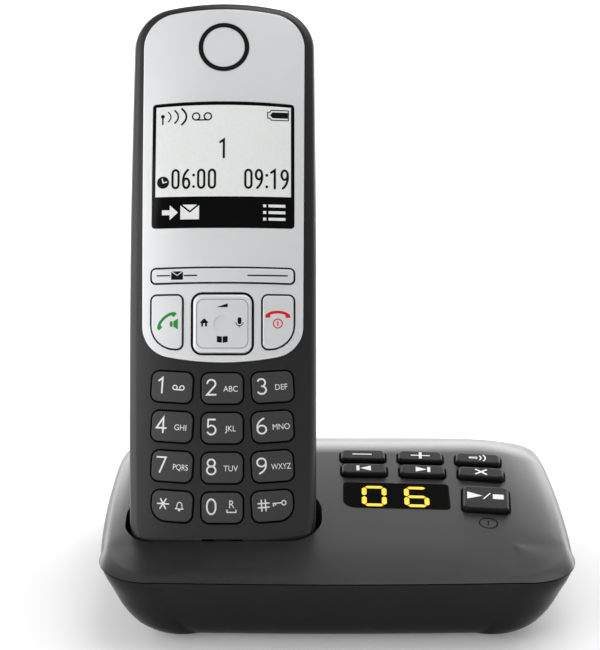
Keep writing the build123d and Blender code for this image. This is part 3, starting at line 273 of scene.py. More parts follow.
class Drawing:
    """Shapes in a plane, in millimetres, that are then laid on a surface."""

    def __init__(self):
        self.faces = []

    def polygon(self, points):
        self.faces.append([(float(x), float(y)) for x, y in points])

    def box(self, x, y, width, height):
        w, h = width / 2, height / 2
        self.polygon([(x - w, y - h), (x + w, y - h), (x + w, y + h), (x - w, y + h)])

    def disc(self, x, y, radius, sides=40):
        turn = 2 * pi / sides
        self.polygon([(x + radius * cos(k * turn), y + radius * sin(k * turn)) for k in range(sides)])

    def stroke(self, points, width, round_ends=True, closed=False):
        """Ribbon along a line of points."""
        points = short_steps(points, closed)
        count = len(points)
        left, right = [], []
        for k, (x, y) in enumerate(points):
            before = points[k - 1] if k or closed else points[k]
            after = points[(k + 1) % count] if k < count - 1 or closed else points[k]
            ax, ay = x - before[0], y - before[1]
            bx, by = after[0] - x, after[1] - y
            la, lb = hypot(ax, ay), hypot(bx, by)
            if la == 0:
                ax, ay, la = bx, by, lb
            if lb == 0:
                bx, by, lb = ax, ay, la
            ax, ay, bx, by = ax / la, ay / la, bx / lb, by / lb
            nx, ny = -(ay + by), ax + bx
            size = hypot(nx, ny)
            nx, ny = nx / size, ny / size
            reach = width / 2 / max(LEAST_MITRE, nx * -ay + ny * ax)
            left.append((x + nx * reach, y + ny * reach))
            right.append((x - nx * reach, y - ny * reach))
        for k in range(count if closed else count - 1):
            j = (k + 1) % count
            self.polygon([left[k], right[k], right[j], left[j]])
        if round_ends and not closed:
            self.disc(*points[0], width / 2, 20)
            self.disc(*points[-1], width / 2, 20)

    def ring(self, x, y, radius, width, sides=48):
        self.stroke(arc(x, y, radius, radius, 0, 360, sides)[:-1], width, closed=True)

    def text(self, words, x, y, height, squeeze=1.0):
        """Plain sans lettering, its capitals this high and its middle at y."""
        curve = bpy.data.curves.new("lettering", "FONT")
        curve.body = words
        curve.align_x = "CENTER"
        curve.resolution_u = 6
        holder = add_object("lettering", curve)
        outline = bpy.data.meshes.new_from_object(holder.evaluated_get(bpy.context.evaluated_depsgraph_get()))
        scale = height / CAPITAL_SHARE
        for face in outline.polygons:
            corners = [outline.vertices[index].co for index in face.vertices]
            self.polygon([(x + c.x * scale * squeeze, y - height / 2 + c.y * scale) for c in corners])
        bpy.data.objects.remove(holder)
        bpy.data.curves.remove(curve)
        bpy.data.meshes.remove(outline)

    def band(self, outer, inner):
        """Band between two closed lines with the same number of points."""
        for k in range(len(outer)):
            self.polygon([inner[k - 1], outer[k - 1], outer[k], inner[k]])

    def moved(self, place):
        """The same drawing with each point passed through place."""
        copy = Drawing()
        copy.faces = [[place(x, y) for x, y in face] for face in self.faces]
        return copy


def part_way(start, end, share):
    """Point on the straight line between two points."""
    return start[0] + (end[0] - start[0]) * share, start[1] + (end[1] - start[1]) * share


def short_steps(points, closed):
    """The same line with its long steps cut up, so that it can follow a curved surface."""
    line = []
    ends = points[1:] + points[:1] if closed else points[1:]
    for start, end in zip(points, ends):
        cuts = max(1, round(hypot(end[0] - start[0], end[1] - start[1]) / LONGEST_STEP))
        line += [part_way(start, end, k / cuts) for k in range(cuts)]
    return line if closed else line + [points[-1]]


def arc(x, y, across, up, start, end, sides=24):
    """Points of an elliptical arc; angles in degrees, anticlockwise from +x."""
    turns = [radians(start + (end - start) * k / sides) for k in range(sides + 1)]
    return [(x + across * cos(turn), y + up * sin(turn)) for turn in turns]


def smooth(points, steps=10):
    """Curve through three points."""
    (ax, ay), (bx, by), (cx, cy) = points
    px, py = 2 * bx - (ax + cx) / 2, 2 * by - (ay + cy) / 2
    line = []
    for k in range(steps + 1):
        t = k / steps
        a, b, c = (1 - t) ** 2, 2 * t * (1 - t), t**2
        line.append((a * ax + b * px + c * cx, a * ay + b * py + c * cy))
    return line


def rounded_box(width, height, corners, arch=0.0):
    """Closed line round a box: its corners' radii from the low left one on, anticlockwise."""
    w, h = width / 2, height / 2
    sides = ((-1, -1), (1, -1), (1, 1), (-1, 1))
    line = []
    for k, (side_x, side_y) in enumerate(sides):
        radius = corners[k]
        x, y = side_x * (w - radius), side_y * (h - radius)
        line += arc(x, y, radius, radius, 180 + 90 * k, 270 + 90 * k, CORNER_STEPS)
        radius = corners[(k + 1) % 4]
        next_x, next_y = sides[(k + 1) % 4]
        end = (next_x * (w - radius), next_y * h) if k % 2 == 0 else (next_x * w, next_y * (h - radius))
        start = line[-1]
        line += [part_way(start, end, step / SIDE_STEPS) for step in range(1, SIDE_STEPS)]
    return [(x, y + arch * (1 - (x / w) ** 2)) for x, y in line]


def turned(x, y, angle):
    """Placing of a drawing at (x, y), turned by an angle in degrees."""
    c, s = cos(radians(angle)), sin(radians(angle))
    return lambda px, py: (x + px * c - py * s, y + px * s + py * c)


def lay(drawing, name, surface, body, material):
    """Make a drawing into a thin print, or a sheet of painted shade, on a surface, riding on a body."""
    mesh = bpy.data.meshes.new(name)
    shape = bmesh.new()
    for points in drawing.faces:
        corners = [shape.verts.new(surface(x, y)) for x, y in points]
        shape.faces.new(corners)
    bmesh.ops.triangulate(shape, faces=[face for face in shape.faces if len(face.verts) > 4])
    shape.to_mesh(mesh)
    shape.free()
    piece = add_object(name, mesh)
    mesh.materials.append(material)
    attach(piece, body)


# ---------------------------------------------------------------- skins of the base's shells
HALF_WIDTH = 62.3               # at the seam between the shells
HALF_DEPTH = 48.3
SIDE_RADIUS = 322
END_RADIUS = 1175
CORNER = 17
SEAM = 19
UNDERSIDE = 1.5
CROWN_RISE = CROWN_HEIGHT - SEAM
ROLL_START = 12.8               # along the slope, where the crown starts to roll over to the back
ROLL_RADIUS = 31
ROLL_END = radians(20)          # fall of the back edge
CELL = 1.5                      # the top skin is cut up into a grid of this pitch
WELD = 0.01                     # vertices this close are one
SLIVER = 0.04
SHARP_EDGE = radians(32)
# The shoulders of the solid: share of the crown's rise, side inset, front inset, back inset.
SHOULDERS = np.array([
    (0.0, 0.0, 0.0, 0.0),
    (0.15, 0.2, 0.5, 0.5),
    (0.4, 0.8, 1.5, 1.5),
    (0.6, 1.9, 2.6, 2.5),
    (0.78, 5.2, 4.3, 4.0),
    (0.92, 11.5, 7.5, 6.5),
    (1.08, 21.0, 13.0, 12.0),
    (2.0, 76.0, 46.0, 45.0),
])
EASING = np.linspace(-0.06, 0.06, 9)
SOFTNESS = 0.04                 # in shares, where the shoulders run into the crown
LEAST_SHARE = 0.02
MOST_SHARE = 1.9
HALVINGS = 30
SLOPE_STEP = 0.05               # over which the slope of the outside is measured
OUTSIDE_GAP = 0.9               # a face this near the outside, and facing as it does, belongs to it
OUTSIDE_FACING = 0.85
PULL_START = 0.45               # share from which the outside is drawn on to the skin itself
PULL_SPAN = 0.3
LEDGE = 0.7                     # the solid's crown ends in a low step, which the skin runs over
LEDGE_SHARE = 0.97
BEHIND_WELL = 24
# The bowl below the seam: share of the way down, middle of the corner's arc, swell of the corner.
BOWL = np.array([
    (-1.0, 45.3, 31.3, 0.0),
    (-0.3, 45.3, 31.3, 0.0),
    (0.0, 45.3, 31.3, 1.5),
    (0.08, 44.7, 31.1, 2.5),
    (0.17, 44.0, 30.9, 2.9),
    (0.4, 42.6, 30.4, 2.6),
    (0.74, 40.1, 29.7, 2.6),
    (0.92, 37.7, 28.9, 2.9),
    (1.0, 35.5, 28.2, 3.1),
    (1.1, 35.5, 28.2, 3.1),
])


def crown_height(y):
    """Height of the crown and its roll-over to the back."""
    middle_y = ROLL_START * cos(CROWN_SLOPE) + ROLL_RADIUS * sin(CROWN_SLOPE)
    middle_z = CROWN_HEIGHT + ROLL_START * sin(CROWN_SLOPE) - ROLL_RADIUS * cos(CROWN_SLOPE)
    last_y = middle_y + ROLL_RADIUS * sin(ROLL_END)
    last_z = middle_z + ROLL_RADIUS * cos(ROLL_END)
    rolled = middle_z + np.sqrt(np.maximum(ROLL_RADIUS**2 - (y - middle_y) ** 2, 0))
    behind = last_z - (y - last_y) * tan(ROLL_END)
    ahead = CROWN_HEIGHT + y * tan(CROWN_SLOPE)
    return np.where(y < ROLL_START * cos(CROWN_SLOPE), ahead, np.where(y < last_y, rolled, behind))


def inset_at(share, column):
    """Inset of a level of the shoulders, with the bends between the levels eased."""
    steps = [np.interp(share + step, SHOULDERS[:, 0], SHOULDERS[:, column]) for step in EASING]
    return np.mean(steps, axis=0)


def beyond_level(x, y, share):
    """Distance by which a point lies outside the outline of this level of the shoulders."""
    along = y / np.cos(CROWN_SLOPE * share)
    front = inset_at(share, 2) - HALF_DEPTH
    back = HALF_DEPTH - inset_at(share, 3)
    half_width = HALF_WIDTH - inset_at(share, 1) - along**2 / (2 * SIDE_RADIUS)
    half_depth = (back - front) / 2 - x**2 / (2 * END_RADIUS)
    across = np.abs(x) - half_width + CORNER
    deep = np.abs(along - (front + back) / 2) - half_depth + CORNER
    outside = np.hypot(np.maximum(across, 0), np.maximum(deep, 0))
    return outside + np.minimum(np.maximum(across, deep), 0) - CORNER


def shoulder_share(x, y):
    """The level of the shoulders whose outline passes over each point."""
    low = np.zeros_like(x)
    high = np.full_like(x, MOST_SHARE)
    for step in range(HALVINGS):
        middle = (low + high) / 2
        outside = beyond_level(x, y, middle) > 0
        high = np.where(outside, middle, high)
        low = np.where(outside, low, middle)
    return (low + high) / 2


def solid_height(x, y, share):
    """Height of the solid's outside above the desk."""
    return np.minimum(SEAM + CROWN_RISE * share + y * np.tan(CROWN_SLOPE * share), crown_height(y))


def skin_height(y, share):
    """Height of the skin: the shoulders take their share of the crown's own height at each place."""
    soft = -SOFTNESS * np.logaddexp(-share / SOFTNESS, -1 / SOFTNESS)
    return SEAM + (crown_height(y) - SEAM) * np.maximum(soft, 0)


def swell_corners(places):
    """Move points near the base's four corners outwards, which makes the corners a little squarer."""
    x, y, z = places.T
    down = (SEAM - z) / (SEAM - UNDERSIDE)
    corner_x, corner_y, swell = (np.interp(down, BOWL[:, 0], BOWL[:, k]) for k in (1, 2, 3))
    across, deep = np.abs(x) - corner_x, np.abs(y) - corner_y
    reach = np.hypot(across, deep) + 1e-6
    near = (across > 0) & (deep > 0)
    size = np.where(near, swell * 2 * across * deep / reach**2, 0)
    moved_x = x + np.sign(x) * size * across / reach
    moved_y = y + np.sign(y) * size * deep / reach
    return np.column_stack((moved_x, moved_y, z))


def vertex_places(verts):
    """Places of vertices, in millimetres."""
    return np.array([vert.co for vert in verts]) / MM


def place_vertices(verts, places):
    for vert, place in zip(verts, places):
        vert.co = Vector(place) * MM


def crosses(face, axis, level):
    """Whether a face lies on both sides of a plane."""
    spots = [vert.co[axis] for vert in face.verts]
    return min(spots) < level < max(spots)


def grid_cut(shape, layer):
    """Cut the tagged faces along a square grid, seen from above."""
    for axis, reach in ((0, HALF_WIDTH), (1, HALF_DEPTH)):
        normal = Vector((1 - axis, axis, 0))
        for place in np.arange(-reach + CELL / 2, reach, CELL):
            cut = set()
            for face in shape.faces:
                if face[layer] and crosses(face, axis, place * MM):
                    cut.add(face)
                    cut.update(face.edges)
                    cut.update(face.verts)
            if cut:
                middle = normal * place * MM
                bmesh.ops.bisect_plane(shape, geom=list(cut), dist=1e-7, plane_co=middle, plane_no=normal)


def tag_outside(shape, layer):
    """Tag the faces that make up the outside of the top, by their height and the way they face."""
    faces = list(shape.faces)
    x, y, z = (np.array([face.calc_center_median() for face in faces]) / MM).T
    step = SLOPE_STEP
    height = solid_height(x, y, shoulder_share(x, y))
    rise_x = (solid_height(x + step, y, shoulder_share(x + step, y)) - height) / step
    rise_y = (solid_height(x, y + step, shoulder_share(x, y + step)) - height) / step
    size = np.sqrt(1 + rise_x**2 + rise_y**2)
    near = (np.abs(height - z) < OUTSIDE_GAP) & (z > SEAM)
    for k, face in enumerate(faces):
        outward = Vector((-rise_x[k], -rise_y[k], 1)) / size[k]
        face[layer] = int(near[k] and face.normal.dot(outward) > OUTSIDE_FACING)


def drop_slivers(shape, layer):
    """Close up the hair-thin faces that the solid's mesh has along its creases."""
    edges = [edge for edge in shape.edges if any(face[layer] for face in edge.link_faces)]
    bmesh.ops.dissolve_degenerate(shape, dist=SLIVER * MM, edges=edges)


def new_skin(node, name, reshape):
    """Take over a shell's mesh, reshape it and set it in the place of its node."""
    source = NODES[node]
    shape = bmesh.new()
    shape.from_mesh(source.data)
    shape.transform(source.matrix_world)
    bmesh.ops.remove_doubles(shape, verts=shape.verts, dist=WELD * MM)
    reshape(shape)
    mesh = bpy.data.meshes.new(name)
    shape.to_mesh(mesh)
    shape.free()
    solid_normals = mesh.attributes.get("custom_normal")
    if solid_normals:
        mesh.attributes.remove(solid_normals)
    mesh.shade_smooth()
    mesh.set_sharp_from_angle(angle=SHARP_EDGE)
    piece = add_object(name, mesh)
    mesh.materials.append(MATERIALS[slots[node]])
    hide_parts(node)
    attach(piece, "base")


def reshape_top(shape):
    """Run the shoulders smoothly into the crown, all round and down to the seam at the back corners."""
    layer = shape.faces.layers.int.new("skin")
    tag_outside(shape, layer)
    drop_slivers(shape, layer)
    grid_cut(shape, layer)
    drop_slivers(shape, layer)
    outside = {vert for face in shape.faces if face[layer] for vert in face.verts}
    verts = list(shape.verts)
    places = vertex_places(verts)
    x, y, z = places.T
    share = np.maximum(shoulder_share(x, y), LEAST_SHARE)
    skin = skin_height(y, share)
    solid = solid_height(x, y, share)
    squash = (skin - SEAM) / (solid - SEAM)
    ledge = (np.abs(solid - z) < LEDGE) & (share < LEDGE_SHARE) & ((x > 0) | (y > BEHIND_WELL))
    pulled = ledge | np.array([vert in outside for vert in verts])
    pull = np.clip((share - PULL_START) / PULL_SPAN, 0, 1) * pulled
    pull = pull * pull * (3 - 2 * pull)
    follow = np.where(z > SEAM, SEAM + (z - SEAM) * squash, z)
    places[:, 2] = follow + (skin - follow) * pull
    place_vertices(verts, swell_corners(places))


def reshape_bottom(shape):
    """Swell the corners of the bowl."""
    verts = list(shape.verts)
    place_vertices(verts, swell_corners(vertex_places(verts)))


SEAM_SHADE_HEIGHT = 0.36                # height of the painted shade band in the gap between the shells
SEAM_INSET = 0.12
SAME_LEVEL = 0.01
SEAM_BAND = 0.5                 # the seam's outer edge lies within this of the outline


def seam_gap_shade():
    """Painted shade: fine black band all round, where the shaded gap between the two shells shows."""
    edge = [vert.co / MM for vert in NODES["base_top_shell"].data.vertices]
    edge = [point for point in edge if abs(point.z - SEAM) < SAME_LEVEL
            and beyond_level(point.x, point.y, 0.0) > -SEAM_BAND]
    edge.sort(key=lambda point: atan2(point.y, point.x))
    line = swell_corners(np.array([(point.x, point.y, SEAM) for point in edge]))
    line[:, :2] -= SEAM_INSET * line[:, :2] / np.hypot(line[:, 0], line[:, 1])[:, None]
    mesh = bpy.data.meshes.new("seam_gap_shade")
    count = len(line)
    points = [Vector((x, y, SEAM - drop)) * MM for drop in (0, SEAM_SHADE_HEIGHT) for x, y, _ in line]
    faces = [(k, k + count, (k + 1) % count + count, (k + 1) % count) for k in range(count)]
    mesh.from_pydata(points, [], faces)
    piece = add_object("seam_gap_shade", mesh)
    mesh.materials.append(PAINTED_GAP_SHADE)
    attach(piece, "base")


new_skin("base_top_shell", "base_top_skin", reshape_top)
new_skin("base_bottom_shell", "base_bottom_skin", reshape_bottom)
seam_gap_shade()

# ---------------------------------------------------------------- number keys
FIRST_ROW = 17.8
ROW_PITCH = 10.23
COLUMN_PITCH = 13.0
SMILE_RADIUS = 200
DIGIT_HEIGHT = 4.3
LETTER_HEIGHT = 1.55


def key_place(row, column):
    """Placing of a drawing on a number key; the rows follow wide arcs."""
    x = column * COLUMN_PITCH
    v = FIRST_ROW + row * ROW_PITCH + sag(SMILE_RADIUS, x)
    return turned(x, v, degrees(asin(x / SMILE_RADIUS)))


def tape_icon(drawing, x, y, radius, spread, width):
    """Two reels on a line."""
    for side in (-1, 1):
        drawing.ring(x + side * spread, y, radius, width, 28)
    drawing.stroke([(x - spread, y - radius), (x + spread, y - radius)], width)


def bell_icon(drawing, x, y):
    flank = [(1.05, -0.75), (0.7, -0.45), (0.62, 0.2)]
    left = [(x - px, y + py) for px, py in flank]
    right = [(x + px, y + py) for px, py in flank[::-1]]
    drawing.stroke(left + arc(x, y + 0.35, 0.6, 0.6, 180, 0, 12) + right, 0.26)
    drawing.stroke([(x - 1.05, y - 0.75), (x + 1.05, y - 0.75)], 0.26)
    drawing.disc(x, y - 1.05, 0.3, 16)


def lock_icon(drawing, x, y):
    drawing.ring(x + 1.05, y, 0.55, 0.3, 24)
    drawing.stroke([(x + 0.5, y), (x - 1.75, y)], 0.3)
    drawing.stroke([(x - 1.65, y), (x - 1.65, y - 0.7)], 0.3)
    drawing.stroke([(x - 1.1, y), (x - 1.1, y - 0.5)], 0.3)


def star_sign(drawing, x, y):
    for turn in (0, 60, 120):
        c, s = cos(radians(turn)), sin(radians(turn))
        drawing.stroke([(x - 1.45 * c, y - 1.45 * s), (x + 1.45 * c, y + 1.45 * s)], 0.36)


def hash_sign(drawing, x, y):
    for offset in (-0.52, 0.52):
        drawing.stroke([(x + offset, y - 1.4), (x + offset, y + 1.4)], 0.36)
        drawing.stroke([(x - 1.4, y + offset), (x + 1.4, y + offset)], 0.36)


OPENING = (11.1, 8.3)
OPENING_CORNER = 2.2
OPENING_LOW_CORNER = 4.2
HANDSET_KEY_GAP = 0.3
GAP_DEPTH = 0.25                # the painted shade in a key's gap lies this far down
RIM = 0.2                       # width of the painted shade edge round a key's opening
RIM_IN = 0.02                   # and how far it reaches over the opening
CLEAR = 0.03                    # between the painted gap shade and a key that only moves straight in
TILT_REACH = 0.12               # the painted gap shade is narrow round the plate's keys, which tilt or move at a slant


def paint_gap_shade(name, place, surface, level, size, corners, reach, body, arch=0.0):
    """Painted shade in the gap round a key: a fine black edge on the shell, and a black band that reaches into the
    gap.
    """
    def outline(grow):
        radii = [corner + grow for corner in corners]
        return rounded_box(size[0] + 2 * grow, size[1] + 2 * grow, radii, arch)

    edge = Drawing()
    edge.band(outline(RIM), outline(-RIM_IN))
    lay(edge.moved(place), name + "_edge", surface(level + INK), body, PAINTED_GAP_SHADE)
    band = Drawing()
    band.band(outline(0), outline(-reach))
    lay(band.moved(place), name + "_gap", surface(level - GAP_DEPTH), body, PAINTED_GAP_SHADE)


DIGIT_X = -2.8
DIGIT_LINE = 0.44
DIGIT_HALF_WIDTH = 1.12
SIDE_X = 2.2


def key_digit(drawing, digit, x, y):
    """Thin round-ended digit, built up from arcs and straight lines."""
    w = DIGIT_HALF_WIDTH
    h = (DIGIT_HEIGHT - DIGIT_LINE) / 2
    low_bowl = arc(0, -0.46 * h, w, 0.54 * h, 0, 360, 28)[:-1]
    high_bowl = arc(0, 0.51 * h, 0.85 * w, 0.49 * h, 0, 360, 28)[:-1]
    tail = smooth([(-w, -0.42 * h), (-0.72 * w, 0.42 * h), (0.55 * w, h)])
    lines = {
        "0": [(arc(0, 0.1 * h, w, 0.9 * h, 0, 180) + arc(0, -0.1 * h, w, 0.9 * h, 180, 360), True)],
        "1": [([(-0.62 * w, 0.6 * h), (0.2 * w, h), (0.2 * w, -h)], False)],
        "2": [(arc(0, 0.45 * h, 0.95 * w, 0.55 * h, 170, -28) + [(-w, -h), (w, -h)], False)],
        "3": [(arc(-0.05, 0.5 * h, 0.88 * w, 0.5 * h, 150, -90), False),
              (arc(-0.05, -0.49 * h, w, 0.51 * h, 90, -150), False)],
        "4": [([(0.45 * w, -h), (0.45 * w, h), (-1.1 * w, -0.4 * h), (1.1 * w, -0.4 * h)], False)],
        "5": [([(0.85 * w, h), (-0.68 * w, h), (-0.8 * w, 0.06 * h)]
               + arc(0, -0.4 * h, w, 0.6 * h, 138, -148), False)],
        "6": [(low_bowl, True), (tail, False)],
        "7": [([(-w, h), (w, h), (-0.3 * w, -h)], False)],
        "8": [(low_bowl, True), (high_bowl, True)],
        "9": [([(-px, -py) for px, py in low_bowl], True), ([(-px, -py) for px, py in tail], False)],
    }
    for points, closed in lines[digit]:
        drawing.stroke([(x + px, y + py) for px, py in points], DIGIT_LINE, closed=closed)


number_keys = [
    ("key_1", 3, -1, "1", None), ("key_2", 3, 0, "2", "ABC"), ("key_3", 3, 1, "3", "DEF"),
    ("key_4", 2, -1, "4", "GHI"), ("key_5", 2, 0, "5", "JKL"), ("key_6", 2, 1, "6", "MNO"),
    ("key_7", 1, -1, "7", "PQRS"), ("key_8", 1, 0, "8", "TUV"), ("key_9", 1, 1, "9", "WXYZ"),
    ("key_star", 0, -1, None, None), ("key_0", 0, 0, "0", None), ("key_hash", 0, 1, None, None),
]
for key, row, column, digit, letters in number_keys:
    radii = [OPENING_CORNER] * 4
    if row == 0 and column:
        radii[0 if column < 0 else 1] = OPENING_LOW_CORNER
    paint_gap_shade(key, key_place(row, column), on_face, 0, OPENING, radii, HANDSET_KEY_GAP - CLEAR, "handset")
    print_on_key = Drawing()
    if digit:
        key_digit(print_on_key, digit, DIGIT_X, 0.3)
    if letters:
        print_on_key.text(letters, SIDE_X, -0.05, LETTER_HEIGHT, 0.92 if len(letters) < 4 else 0.8)
    if key == "key_1":
        tape_icon(print_on_key, 1.7, -0.1, 0.55, 0.9, 0.28)
    elif key == "key_star":
        star_sign(print_on_key, -2.35, 0.5)
        bell_icon(print_on_key, 1.95, 0.15)
    elif key == "key_0":
        print_on_key.text("R", 2.4, 1.0, 2.1, 0.9)
        print_on_key.stroke([(1.25, -0.55), (1.25, -1.15), (3.55, -1.15), (3.55, -0.55)], 0.3)
    elif key == "key_hash":
        hash_sign(print_on_key, -2.3, 0.35)
        lock_icon(print_on_key, 1.9, 0.7)
    lay(print_on_key.moved(key_place(row, column)), key + "_legend", on_face(KEY_PROUD + INK), key,
        WHITE_INK)

# ---------------------------------------------------------------- talk, end, soft and four-way keys
raised = on_face(PLATE_PROUD + KEY_PROUD + INK)
SOFTKEY_V = 77.75
# Openings in the plate: middle, size, corners' radii from the low left one on, and arch.
PLATE_OPENINGS = {
    "talk_key": ((-14.45, 65.65), (8.5, 14.3), (6.5, 1.6, 1.6, 1.6), 0.0),
    "end_key": ((14.45, 65.65), (8.5, 14.3), (1.6, 6.5, 1.6, 1.6), 0.0),
    "nav_pad": ((0, PAD_MIDDLE), (16, 16), (2.7, 2.7, 2.7, 2.7), 0.0),
    "softkey_bar": ((0, 77.65), (37.4, 4.1), (1.3, 1.3, 1.3, 1.3), 0.2),
}
for key, (middle, size, corners, arch) in PLATE_OPENINGS.items():
    paint_gap_shade(key, turned(*middle, 0), on_face, PLATE_PROUD, size, corners, TILT_REACH, "handset", arch)


def receiver(drawing, x, y, reach, tilt, rise):
    """Handset pictogram: a bowed bar with two heavy ends."""
    place = turned(x, y, tilt)
    bow = Drawing()
    bow.stroke(arc(0, -rise, reach, rise * 1.6, 155, 25, 16), 0.72, round_ends=False)
    for side in (-1, 1):
        bow.polygon([(side * reach * 1.06, -rise * 0.95), (side * reach * 1.04, -rise * 0.1),
                     (side * reach * 0.82, rise * 0.15), (side * reach * 0.62, -rise * 0.1),
                     (side * reach * 0.66, -rise * 0.95)][::side])
    drawing.faces += bow.moved(place).faces


talk = Drawing()
receiver(talk, -14.75, 66.3, 3.0, 42, 0.95)
talk.box(-13.25, 65.15, 0.72, 1.4)
talk.polygon([(-12.7, 64.45), (-11.5, 63.75), (-11.5, 66.55), (-12.7, 65.85)])
lay(talk, "talk_key_legend", raised, "talk_key", GREEN_INK)

end = Drawing()
receiver(end, 14.35, 67.7, 3.05, 0, 0.95)
end.ring(14.35, 65.3, 1.15, 0.3)
end.stroke([(14.35, 64.85), (14.35, 65.75)], 0.34)
lay(end, "end_key_legend", raised, "end_key", RED_INK)


def envelope(drawing, x, y, width, height, fold):
    """Envelope with its flap left open as a V between two solid patches."""
    w, h = width / 2, height / 2
    dip = y - h * 0.1
    drawing.polygon([(x - w + fold, y + h), (x, dip + fold), (x + w - fold, y + h)][::-1])
    drawing.polygon([(x - w, y - h), (x, y - h), (x, dip), (x - w, y + h - fold / 3)])
    drawing.polygon([(x, y - h), (x + w, y - h), (x + w, y + h - fold / 3), (x, dip)])


soft = Drawing()
envelope(soft, -11.8, SOFTKEY_V, 3.1, 2.2, 0.26)
for start, end_x in ((-17.0, -13.75), (-9.85, -6.7), (6.6, 16.8)):
    soft.stroke([(start, SOFTKEY_V), (end_x, SOFTKEY_V)], 0.36)
lay(soft, "softkey_legend", raised, "softkey_bar", BLACK_INK)

pad = Drawing()
pad.polygon([(-1.5, 69.45), (1.4, 69.45), (1.4, 70.45)])
pad.polygon([(-5.8, 65.5), (-4.7, 66.6), (-3.6, 65.5), (-3.9, 65.3), (-5.5, 65.3)][::-1])
pad.polygon([(-5.45, 65.3), (-5.45, 64.45), (-4.95, 64.45), (-4.95, 65.3)])
pad.polygon([(-4.45, 65.3), (-4.45, 64.45), (-3.95, 64.45), (-3.95, 65.3)])
pad.stroke([(4.45, 65.55), (4.45, 66.35)], 1.0)
pad.stroke(arc(4.45, 65.6, 0.95, 0.95, 190, 350, 14), 0.22)
pad.stroke([(4.45, 64.65), (4.45, 64.4)], 0.24)
pad.polygon([(-1.4, 60.4), (-0.1, 60.25), (-0.1, 61.85), (-1.4, 62.0)])
pad.polygon([(0.1, 60.25), (1.4, 60.4), (1.4, 62.0), (0.1, 61.85)])
lay(pad, "nav_pad_legend", raised, "nav_pad", BLACK_INK)
# Painted shade: fine grey line round the pad's inner face, where its bevel falls in shade.
bevel_shade_line = Drawing()
bevel_shade_line.band(rounded_box(13.4, 12.8, [1.9] * 4), rounded_box(13.1, 12.5, [1.75] * 4))
lay(bevel_shade_line.moved(turned(0, PAD_MIDDLE, 0)), "nav_pad_bevel_shade", raised, "nav_pad", BEVEL_SHADE_GREY)

# ---------------------------------------------------------------- display behind the lens
PANEL_HALF_WIDTH = 17.75
PANEL_LOW = 98.6
PANEL_HIGH = 123.2
PANEL_ARCH = 0.45
PANEL_COLUMNS = 24
PANEL_ROWS = 6
STROKE = 0.6
FIGURE_HEIGHT = 5.4
FIGURE_WIDTH = 2.2
TIME_V = 103.3
STATUS_V = 120.1
BAR_V = 94.4


def panel_point(column, row):
    """Corner of the pale panel's grid; the panel's upper edge is arched."""
    x = PANEL_HALF_WIDTH * (2 * column / PANEL_COLUMNS - 1)
    top = PANEL_HIGH - PANEL_ARCH * (x / PANEL_HALF_WIDTH) ** 2
    return x, PANEL_LOW + (top - PANEL_LOW) * row / PANEL_ROWS


panel = Drawing()
for column in range(PANEL_COLUMNS):
    for row in range(PANEL_ROWS):
        corners = ((column, row), (column + 1, row), (column + 1, row + 1), (column, row + 1))
        panel.polygon([panel_point(*corner) for corner in corners])
lay(panel, "display_panel", on_face(LENS_PROUD + INK), "handset", PALE_PANEL)


def figure(drawing, sign, x, y, width=FIGURE_WIDTH, height=FIGURE_HEIGHT, line=STROKE):
    """Tall narrow display figure drawn with an even stroke."""
    w, h = (width - line) / 2, (height - line) / 2
    bend = h - w * 1.25
    if sign == "0":
        top = arc(x, y + bend, w, w * 1.25, 0, 180, 14)
        foot = arc(x, y - bend, w, w * 1.25, 180, 360, 14)
        drawing.stroke(top + foot, line, closed=True)
    elif sign in "69":
        flip = 1 if sign == "6" else -1
        bowl = h * 0.52
        loop = arc(x, y - flip * (h - bowl), w, bowl, 0, 360, 28)[:-1]
        drawing.stroke(loop, line, closed=True)
        tail = [(x - flip * w, y - flip * (h - bowl)), (x - flip * w * 0.75, y + flip * h * 0.35),
                (x + flip * w * 0.55, y + flip * h)]
        drawing.stroke(smooth(tail), line)
    elif sign == "1":
        stem = x + width * 0.08
        drawing.stroke([(x - width * 0.35, y + h * 0.72), (stem, y + h), (stem, y - h)], line)
    elif sign == ":":
        drawing.disc(x, y + h * 0.42, line * 0.62, 16)
        drawing.disc(x, y - h * 0.86, line * 0.62, 16)


shown = Drawing()
for sign, x in (("0", -12.45), ("6", -9.63), (":", -7.7), ("0", -5.7), ("0", -2.88),
                ("0", 6.63), ("9", 9.38), (":", 11.43), ("1", 13.35), ("9", 16.1)):
    figure(shown, sign, x, TIME_V)
shown.disc(-16.0, STATUS_V + 0.15, 0.52, 20)
shown.stroke([(-16.0, STATUS_V), (-16.0, STATUS_V - 1.9)], 0.4)
for x, chord, bulge, width in ((-14.55, 2.6, 0.7, 0.32), (-12.8, 3.4, 0.9, 0.42), (-10.95, 4.3, 1.2, 0.5)):
    shown.stroke(smooth([(x, STATUS_V + chord / 2), (x + bulge, STATUS_V), (x, STATUS_V - chord / 2)]), width)
tape_icon(shown, -5.63, STATUS_V, 0.95, 1.55, 0.38)
battery = [(17.1, 121.9), (12.6, 121.9), (12.2, 121.35), (11.65, 121.35),
           (11.65, 119.75), (12.2, 119.75), (12.6, 119.2), (17.1, 119.2)]
shown.stroke(battery, 0.26, closed=True)
shown.polygon([(12.25, 120.55), (12.9, 119.75), (16.95, 119.75), (16.95, 121.35), (12.9, 121.35)])
shown.disc(-15.75, 102.45, 1.6)
figure(shown, "1", 0.0, 111.4)
lay(shown, "display_figures", on_face(LENS_PROUD + 2 * INK), "handset", BLACK_INK)

